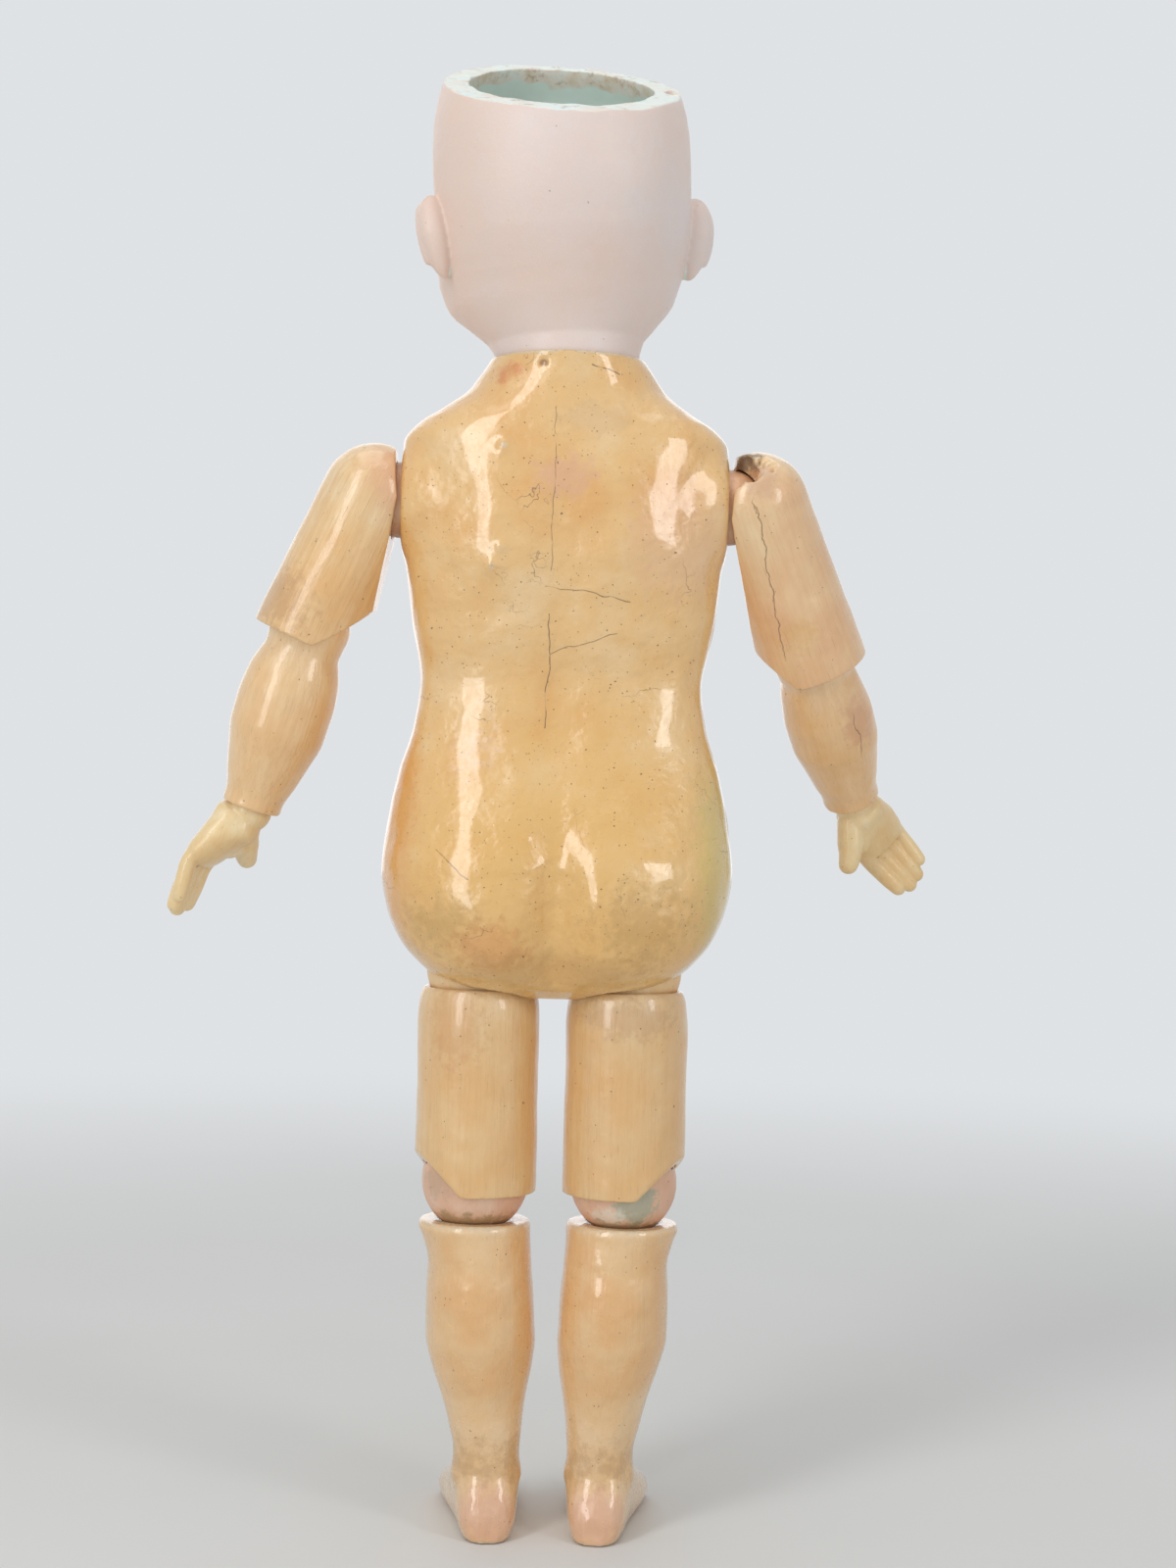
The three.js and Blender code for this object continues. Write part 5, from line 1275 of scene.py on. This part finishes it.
def makeArm(name, side):
    out, ahead = rad(arm["out"][name]), rad(arm["ahead"][name])
    shoulder = Matrix.Translation(pivots["shoulder_swing_" + name]) @ Matrix.Rotation(-ahead, 4, "X")
    lift = shoulder @ Matrix.Rotation(-side * out, 4, "Y")
    ball = ballOf(torso["shoulderRound"], count=96)
    wayUp = 180 - arm["out"][name] - arm["elasticTilt"]
    carve(ball, rodOf((-12, 0, 0), (1, 0, 0), bore["cord"]), slotOf(Vector((1, 0, 0)),
            wayUp - arm["liftUp"], wayUp + arm["liftDown"], 11, 1.7))
    soften(ball, 0.4, 2)
    markEdges(ball, 4)
    place(ball, "shoulderBall" + name.title(), shoulder, "shoulder_ball_" + name, ["shoulder_ball_" + name],
          looseBallPaint, side)

    x = arm["sideset"] * math.cos(out) + arm["raise"] * math.sin(out)
    top = arm["raise"] * math.cos(out) - arm["sideset"] * math.sin(out)
    long = arm["long"][name]
    elbowZ, rimZ = top - long, top - long - arm["tab"]
    turn = rad(arm["notchTurn"][name])
    way = Vector((-math.sin(turn), -math.cos(turn), 0))
    turnZ = -x / math.tan(rad(arm["elasticTilt"]))
    upper = limbOf(x, top, arm["topRound"], [
        (top, arm["topRound"]), (top - 0.3 * long, arm["topRound"] + 0.05),
        (top - 0.6 * long, (arm["topRound"] + arm["endRound"]) / 2),
        (elbowZ, arm["endRound"]), (rimZ, arm["endRound"] - 0.1)])
    face = 0.923 * torso["halfWide"] - shoulderX + 0.7
    for bevel in (0, arm["liftUp"], -arm["liftDown"]):
        cut = blockOf((-60, -60, -60), (0, 60, 60))
        cut.data.transform(Matrix.Rotation(out, 4, "Y") @ Matrix.Translation((face, 0, 0))
                           @ Matrix.Rotation(rad(bevel), 4, "Y"))
        carve(upper, cut)
    carve(upper, ballOf(torso["shoulderRound"] + torso["fit"]), rodOf((0, 0, 0), (x, 0, turnZ),
            bore["wide"]),
          rodOf((x, 0, turnZ + bore["wide"]), (x, 0, elbowZ), bore["wide"]),
                  ballOf(arm["elbowRound"] + torso["fit"], (x, 0, elbowZ)),
          notchOf(arm["notchStart"][name] * arm["endRound"], x, rimZ, arm["notch"] + arm["notchMore"][name],
                  way))
    if name == "right":  # worn away on its inner side
        carve(upper, notchOf(0.4 * arm["endRound"], x, rimZ, 10, Vector((-1, 0, 0)), 54))
    if name == "right":  # the broken shoulder
        hole = ballOf(1, (0, 0, 0), (4.4, 4.2, 5.2), 40)
        points, _ = pointsOf(hole)
        setPoints(hole, points * (1 + waver(points, 2.4, 0.5, 31))[:, None] + np.array((x - 0.6, 4.6,
                top + 9.6)))
        crumb = ballOf(1, (0, 0, 0), (3.4, 2.6, 2.0), 32)
        points, _ = pointsOf(crumb)
        setPoints(crumb, points * (1 + waver(points, 1.6, 0.6, 33))[:, None] + np.array((x + 4.6, 4.8,
                top + 9.4)))
        carve(upper, hole, crumb)
    finishLimb(upper, seed=21 + side)
    place(upper, "upperArm" + name.title() + "Skin", lift, "upper_arm_" + name, ["upper_arm_" + name],
          upperArmPaint[name], side)

    axis = Vector((way.y, -side * way.x, 0))
    elbow = (lift @ Matrix.Translation((side * x, 0, elbowZ)) @ Matrix.Rotation(rad(arm["bent"][name]), 4,
            axis))
    wristZ, elbowRound, wristRound = -arm["forearmLong"], arm["elbowRound"], arm["wristRound"]
    forearmRound = arm["forearmRound"][name]
    lower = limbOf(0, 0, elbowRound, [
        (0, elbowRound), (0.06 * wristZ, 0.96 * elbowRound), (0.11 * wristZ, 0.92 * elbowRound),
        (0.17 * wristZ, elbowRound), (0.26 * wristZ, 0.94 * forearmRound), (0.4 * wristZ, forearmRound),
        (0.54 * wristZ, 0.99 * forearmRound), (0.67 * wristZ, 0.89 * forearmRound),
        (0.81 * wristZ, (forearmRound + wristRound) / 2.15), (0.94 * wristZ, wristRound), (wristZ + 1,
                wristRound)])
    carve(lower, ballOf(bore["pocket"]), slotOf(way, 0, arm["slotBend"], 12), rodOf((0, 0, 0), (0, 0,
            wristZ), bore["cord"]),
          ballOf(arm["wristKnob"] + torso["fit"], (0, 0, wristZ)))
    finishLimb(lower, seed=41 + side)
    place(lower, "forearm" + name.title() + "Skin", elbow, "forearm_" + name, ["forearm_" + name],
          forearmPaint[name], side)

    wrist = elbow @ Matrix.Translation((0, 0, wristZ))
    pose = Euler((0, -rad(arm["handOut"][name]), rad(arm["handTurn"][name])), "XYZ")
    turned = Matrix.Rotation(pose.y, 4, "Y") @ Matrix.Rotation(pose.z, 4, "Z")
    palm = makeHand()
    palm.data.transform(turned)
    soften(palm, hand["voxel"], 4)
    markEdges(palm, 6)
    place(palm, "hand" + name.title() + "Skin", wrist, "hand_" + name, ["hand_" + name], handPaint[name],
            side)


for name, side in sides.items():
    makeArm(name, side)

print("legs")
thighPaint = {
    "left": finishWith("thighPaintLeft", grain=0.22, base=colour(233, 196, 142), patches=[
        {"at": (4, 11, -12), "reach": (6, 6, 9), "colour": colour(204, 146, 92), "strength": 0.4,
                "ragged": 0.8}]),
    "right": finishWith("thighPaintRight", grain=0.22, base=colour(228, 192, 140), patches=[
        {"at": (0, 12, -10), "reach": (10, 8, 4), "colour": colour(178, 132, 92), "strength": 0.35,
                "ragged": 0.9}]),
}
hipBallPaint = finishWith("hipBallPaint", grain=0.15, roughness=0.4, coat=0.2, dirt=0.6)
kneePaint = {
    "left": finishWith("kneePaintLeft", base=colour(228, 182, 152), warm=colour(216, 160, 130),
                       pale=colour(238, 206, 182), grain=0.1, roughness=0.42, coat=0.2, dirt=0.6, patches=[
        {"at": (8, 8, 0), "reach": (4, 5, 3), "colour": colour(184, 160, 132), "strength": 0.5,
                "ragged": 0.9},
        {"at": (4, 8, -8.8), "reach": (14, 10, 2.2), "colour": colour(146, 122, 74), "strength": 0.65,
                "ragged": 1.0}]),
    "right": finishWith("kneePaintRight", base=colour(228, 184, 154), warm=colour(216, 162, 132),
                        pale=colour(238, 208, 184), grain=0.1, roughness=0.42, coat=0.2, dirt=0.6, patches=[
        {"at": (-2.5, 10, -3), "reach": (4.6, 7, 5), "colour": colour(172, 174, 152), "strength": 0.85,
                "ragged": 0.6,
         "rough": 0.3, "soft": 0.15},
        {"at": (3, 10, -6.5), "reach": (4, 5, 2), "colour": colour(238, 230, 214), "strength": 0.6,
                "ragged": 0.9},
        {"at": (0, 8, -9.5), "reach": (14, 10, 1.8), "colour": colour(150, 126, 84), "strength": 0.6,
                "ragged": 1.0}]),
}
shinPaint = {
    name: finishWith("shinPaint" + name.title(), base=colour(234, 196, 146), warm=colour(228, 174, 112),
                     pale=colour(240, 210, 170), grain=0.0001, roughness=0.22, coat=0.85, cracks=0.12,
                             waver=0.8, coatRoughness=0.07,
                     dirt=0.55, wear=0.5, patches=[
        {"at": (side * -4, 0, -62), "reach": (9, 9, 6), "colour": colour(182, 140, 92), "strength": 0.45,
                "ragged": 0.9},
        {"at": (side * -4, 10, -73), "reach": (8, 6, 6), "colour": colour(222, 164, 146), "strength": 0.5},
        {"at": (0, 6, -8.8), "reach": (12.5, 12, 1.5), "colour": colour(228, 206, 172), "strength": 0.5,
                "ragged": 0.9},
        {"at": (side * -4, -26, -77), "reach": (10, 16, 5), "colour": colour(220, 152, 130),
                "strength": 0.4}])
    for name, side in sides.items()
}
shinRows = [
    (0.112, 0.0, 0.97, 0.97, 0.97), (0.128, 0.0, 1.01, 1.01, 1.01), (0.155, -0.1, 0.98, 0.98, 0.99),
    (0.23, -0.34, 0.94, 0.92, 1.02), (0.3, -0.38, 0.965, 0.9, 1.08), (0.37, -0.41, 0.98, 0.88, 1.1),
    (0.44, -0.47, 0.985, 0.85, 1.06), (0.525, -0.59, 0.9, 0.79, 0.93), (0.62, -0.77, 0.75, 0.7, 0.77),
    (0.68, -0.87, 0.68, 0.64, 0.69), (0.76, -1.0, 0.605, 0.6, 0.63), (0.83, -1.0, 0.585, 0.6, 0.62),
    (0.9, -1.0, 0.54, 0.56, 0.6),
]
footRows = [
    (0.0, 0.42, 0.2), (0.035, 0.72, 0.3), (0.12, 0.93, 0.38), (0.24, 1.0, 0.46), (0.38, 0.98, 0.6), (0.52,
            0.9, 0.78),
    (0.66, 0.83, 1.0), (0.8, 0.78, 1.05), (0.91, 0.7, 0.8), (0.975, 0.5, 0.5), (1.0, 0.25, 0.3),
]


def makeFoot(x, sole):
    long = leg["footFront"] + leg["heel"]
    toeLine = 7.0  # the sole of the foot stops here and the toes go on
    rings = []
    for share, wide, tall in throughRows(footRows, 40):
        if share * long < toeLine:
            continue
        y, high = share * long - leg["footFront"], tall * leg["instep"]
        belly, turn = 0.38 * high, turns(64)
        up = np.sin(turn)
        rise = np.where(up > 0, belly + (high - belly) * up, belly * (1 - np.minimum(1, -1.4 * up)))
        across = np.sign(np.cos(turn)) * np.abs(np.cos(turn)) ** 0.85
        rings.append(np.column_stack([x + wide * leg["footHalfWide"] * across, np.full(64, y),
                sole + rise]))
    foot = loft("foot", rings, (x, rings[0][0][1], sole + 2.5), (x, leg["heel"], sole + 2.4))
    toes = [(-6.3, 2.75, 1.3), (-2.1, 2.1, 0.4), (1.4, 1.95, 0.9), (4.5, 1.8, 2.1), (7.2, 1.65, 4.0)]
    for across, r, back in toes:
        front = -leg["footFront"] + back
        path = [(x + across * 0.9, front + 11, sole + r + 2.2), (x + across * 0.97, front + 5,
                sole + r + 1.2),
                (x + across, front + r, sole + r)]
        addTo(foot, bone(path, [r * 0.95, r * 0.92, r]))
    under = blockOf((x - 30, -60, sole - 10), (x + 30, 30, sole))
    return carve(foot, under)


def makeLeg(name, side):
    hip = Matrix.Translation(pivots["hip_swing_" + name])
    ball = ballOf(torso["hipRound"], count=96)
    carve(ball, rodOf((0, 0, -14), (0, 0, 14), bore["cord"]))
    soften(ball, 0.45, 2)
    markEdges(ball, 4)
    place(ball, "hipBall" + name.title(), hip, "hip_ball_" + name, ["hip_ball_" + name], hipBallPaint, side)

    round_, long = leg["thighRound"], leg["long"]
    rimZ = -long - leg["tab"]
    turn = rad(leg["notchTurn"])
    way = Vector((math.sin(turn), math.cos(turn), 0))
    profile = [(leg["top"], 0.9 * round_), (1.35 * leg["top"], 0.95 * round_), (2 * leg["top"],
            0.985 * round_),
               (2.8 * leg["top"], round_), (long / 2, 0.99 * round_), (long, round_),
               (-rimZ, round_ - 0.05)]
    rings = [oval(0, 0, -h, r, r, r, 1.0, 128) for h, r in throughRows(profile, 50)]
    thigh = loft("thigh", rings, (0, 0, -leg["top"]), (0, 0, rimZ))
    carve(thigh, ballOf(torso["hipRound"] + torso["fit"]), rodOf((0, 0, 0), (0, 0, -long), bore["wide"]),
          ballOf(leg["kneeRound"] + torso["fit"], (0, 0, -long)), notchOf(0.44 * round_, 0, rimZ,
                  leg["notch"], way))
    finishLimb(thigh, seed=61 + side, voxel=leg["voxel"])
    place(thigh, "thigh" + name.title() + "Skin", hip, "thigh_" + name, ["thigh_" + name], thighPaint[name],
            side)

    knee = hip @ Matrix.Translation((0, 0, -long))
    ball = ballOf(leg["kneeRound"], count=96)
    carve(ball, ballOf(bore["pocket"]), slotOf(way, 0, leg["slotBend"], 15.5), rodOf((0, 0, 0), (0, 0, -16),
            bore["hook"]))
    finishLimb(ball, seed=71 + side, wave=0.16, voxel=0.4)
    place(ball, "kneeBall" + name.title() + "Skin", knee, "knee_ball_" + name, ["knee_ball_" + name],
          kneePaint[name], side)

    shin = knee @ Matrix.Rotation(side * rad(leg["toeOut"]), 4, "Z")
    sole = -(hipZ - long)
    tall, calf = -sole, leg["calfRound"]
    rings = [oval(s * leg["ankleInset"], 0, -d * tall, w * calf, f * calf, b * calf, 1.0, 128)
             for d, s, w, f, b in throughRows(shinRows, 90)]
    lower = loft("shin", rings, (0, 0, rings[0][0][2]), (-leg["ankleInset"], 0, rings[-1][0][2]))
    addTo(lower, makeFoot(-leg["ankleInset"], sole))
    carve(lower, ballOf(leg["kneeRound"] + torso["fit"]), rodOf((0, 0, 0), (0, 0, -23), bore["hook"]))
    soften(lower, leg["voxel"], 4)
    points, normals = pointsOf(lower)
    lift = (waver(points, 13, 0.24, 81 + side) + waver(points, 4.5, 0.07, 82) - 0.05) * ease(sole + 0.3,
            sole + 3, points[:, 2])
    ankle = 0.7 * bell(np.abs(points[:, 0] + leg["ankleInset"]) - 7, 3) * bell(points[:, 1] - 1,
            3) * bell(points[:, 2] - sole - 13, 3)
    points = points + normals * (lift + ankle)[:, None]
    points[:, 2] = np.maximum(points[:, 2], sole)
    setPoints(lower, points)
    markEdges(lower, 5)
    place(lower, "lowerLeg" + name.title() + "Skin", shin, "lower_leg_" + name, ["lower_leg_" + name],
          shinPaint[name], side)


for name, side in sides.items():
    makeLeg(name, side)

print("inner works")


def plainFinish(name, base, other, scale, finish, relief):
    made, tree, shader, where = newMaterial(name, {**finish, "carried": True})
    tone = toned(tree, where, scale, base, other, base, 1.0)
    pits = useGroup(tree, dustPits, Vector=where, Scale=1.2, Size=0.2, Share=0.2)["Mask"]
    tone = layer(tree, tone, pits, 0.5, other)
    tree.links.new(tone, shader.inputs["Base Color"])
    rough = finish["roughness"]
    tree.links.new(between(tree, noiseOf(tree, where, 0.6, 3), 0.3, 0.7, rough - 0.06, rough + 0.08),
                   shader.inputs["Roughness"])
    giveRelief(tree, shader, [(noiseOf(tree, where, 1.6, 3, 0.6), relief)])
    return made


def braid(name):  # woven cover of the elastic cord
    made, tree, shader, where = newMaterial(name, {"roughness": 0.85, "carried": True})
    cells = cellsOf(tree, aim(tree, "MULTIPLY", where, (1.4, 1.4, 1.0)), 1.1)
    weave = between(tree, cells.outputs["Distance"], 0.2, 0.6)
    tone = over(tree, weave, colour(226, 216, 196), colour(164, 150, 126))
    tree.links.new(tone, shader.inputs["Base Color"])
    tree.links.new(between(tree, weave, 0, 1, 0.8, 0.95), shader.inputs["Roughness"])
    giveRelief(tree, shader, [(weave, -0.25)])
    return made


cover = braid("braidedCover")
steel = plainFinish("wireSteel", colour(138, 136, 132), colour(96, 78, 60), 0.3, {"roughness": 0.38,
        "metallic": 1.0}, 0.03)
lead = plainFinish("castLead", colour(112, 113, 116), colour(84, 84, 88), 0.2, {"roughness": 0.6,
        "metallic": 0.7}, 0.15)
cork = plainFinish("cork", colour(176, 134, 90), colour(120, 82, 52), 0.8, {"roughness": 0.9}, 0.4)
plaster = plainFinish("plaster", colour(228, 222, 208), colour(206, 196, 176), 0.3, {"roughness": 0.92},
        0.2)
wood = plainFinish("turnedWood", colour(190, 148, 102), colour(150, 108, 70), 0.25, {"roughness": 0.75},
        0.12)
for words, material in ((("elastic",), cover), (("hook", "rocker"), steel), (("weight",), lead), (("cork",),
        cork),
                        (("plaster",), plaster), (("button",), wood)):
    for node, made in frame["nodes"].items():
        if any(word in node for word in words):
            made.data.materials.clear()
            made.data.materials.append(material)

print("studio")
studio = {
    "distance": 550, "height": 168, "aside": -6.6, "roll": 1.35, "lens": 56.25,
    "backdrop": (0.74, 0.76, 0.78, 1), "ambient": 0.5, "fadeFrom": 260, "fadeTo": 900,
}
axis = middle.translation
lens = bpy.data.cameras.new("camera")
lens.lens, lens.sensor_width, lens.clip_start, lens.clip_end = studio["lens"], 36, 0.01, 20
eye = bpy.data.objects.new("camera", lens)
eye.location = ((axis.x + studio["aside"]) / 1000, (axis.y + studio["distance"]) / 1000,
        studio["height"] / 1000)
eye.rotation_euler = (rad(90), -rad(studio["roll"]), rad(180))
bpy.context.scene.collection.objects.link(eye)
bpy.context.scene.camera = eye

floor = solidOf("floor", [(-4, -4, 0), (4, -4, 0), (4, 4, 0), (-4, 4, 0)], [(0, 1, 2, 3)])
floor.location.z = -0.0002
made, tree, shader, where = newMaterial("paleFloor", {"roughness": 0.9, "carried": True})
grey = toned(tree, where, 0.004, colour(224, 224, 222), colour(220, 220, 217), colour(227, 227, 226), 0.6)
tree.links.new(grey, shader.inputs["Base Color"])
giveRelief(tree, shader, [(noiseOf(tree, where, 0.05, 3), 0.1)])
glow, fade = tree.nodes.new("ShaderNodeEmission"), tree.nodes.new("ShaderNodeMixShader")
glow.inputs["Color"].default_value = studio["backdrop"]
far = between(tree, aim(tree, "LENGTH", where), studio["fadeFrom"], studio["fadeTo"])
tree.links.new(far, fade.inputs[0])
tree.links.new(shader.outputs[0], fade.inputs[1])
tree.links.new(glow.outputs[0], fade.inputs[2])
tree.links.new(fade.outputs[0], tree.nodes["Material Output"].inputs["Surface"])
floor.data.materials.append(made)

world = bpy.data.worlds.new("studio")
bpy.context.scene.world = world
world.use_nodes = True
tree = world.node_tree
path = tree.nodes.new("ShaderNodeLightPath")
seen = calc(tree, "MAXIMUM", path.outputs["Is Camera Ray"], path.outputs["Is Transmission Ray"])
seen = calc(tree, "MAXIMUM", seen, path.outputs["Is Glossy Ray"])
strength = calc(tree, "MULTIPLY_ADD", seen, 1 - studio["ambient"], studio["ambient"])
tree.links.new(strength, tree.nodes["Background"].inputs["Strength"])
tree.nodes["Background"].inputs["Color"].default_value = studio["backdrop"]

for name, spot, size, power in (
    ("softboxLeft", (0.62, 0.85, 0.6), (0.26, 1.15), 5.0),
    ("softboxRight", (-0.8, 0.75, 0.5), (0.22, 0.5), 2.0),
    ("overhead", (0.0, 0.1, 1.1), (0.9, 0.9), 3.0),
    ("frontFill", (0.2, -1.2, 0.6), (1.3, 1.1), 2.6),
):
    lamp = bpy.data.lights.new(name, "AREA")
    lamp.shape, lamp.size, lamp.size_y, lamp.energy = "RECTANGLE", size[0], size[1], power
    light = bpy.data.objects.new(name, lamp)
    light.location = spot
    light.rotation_euler = (Vector((0, 0, 0.17)) - Vector(spot)).to_track_quat("-Z", "Y").to_euler()
    bpy.context.scene.collection.objects.link(light)

bpy.context.scene.view_settings.view_transform = "Standard"
print("done")
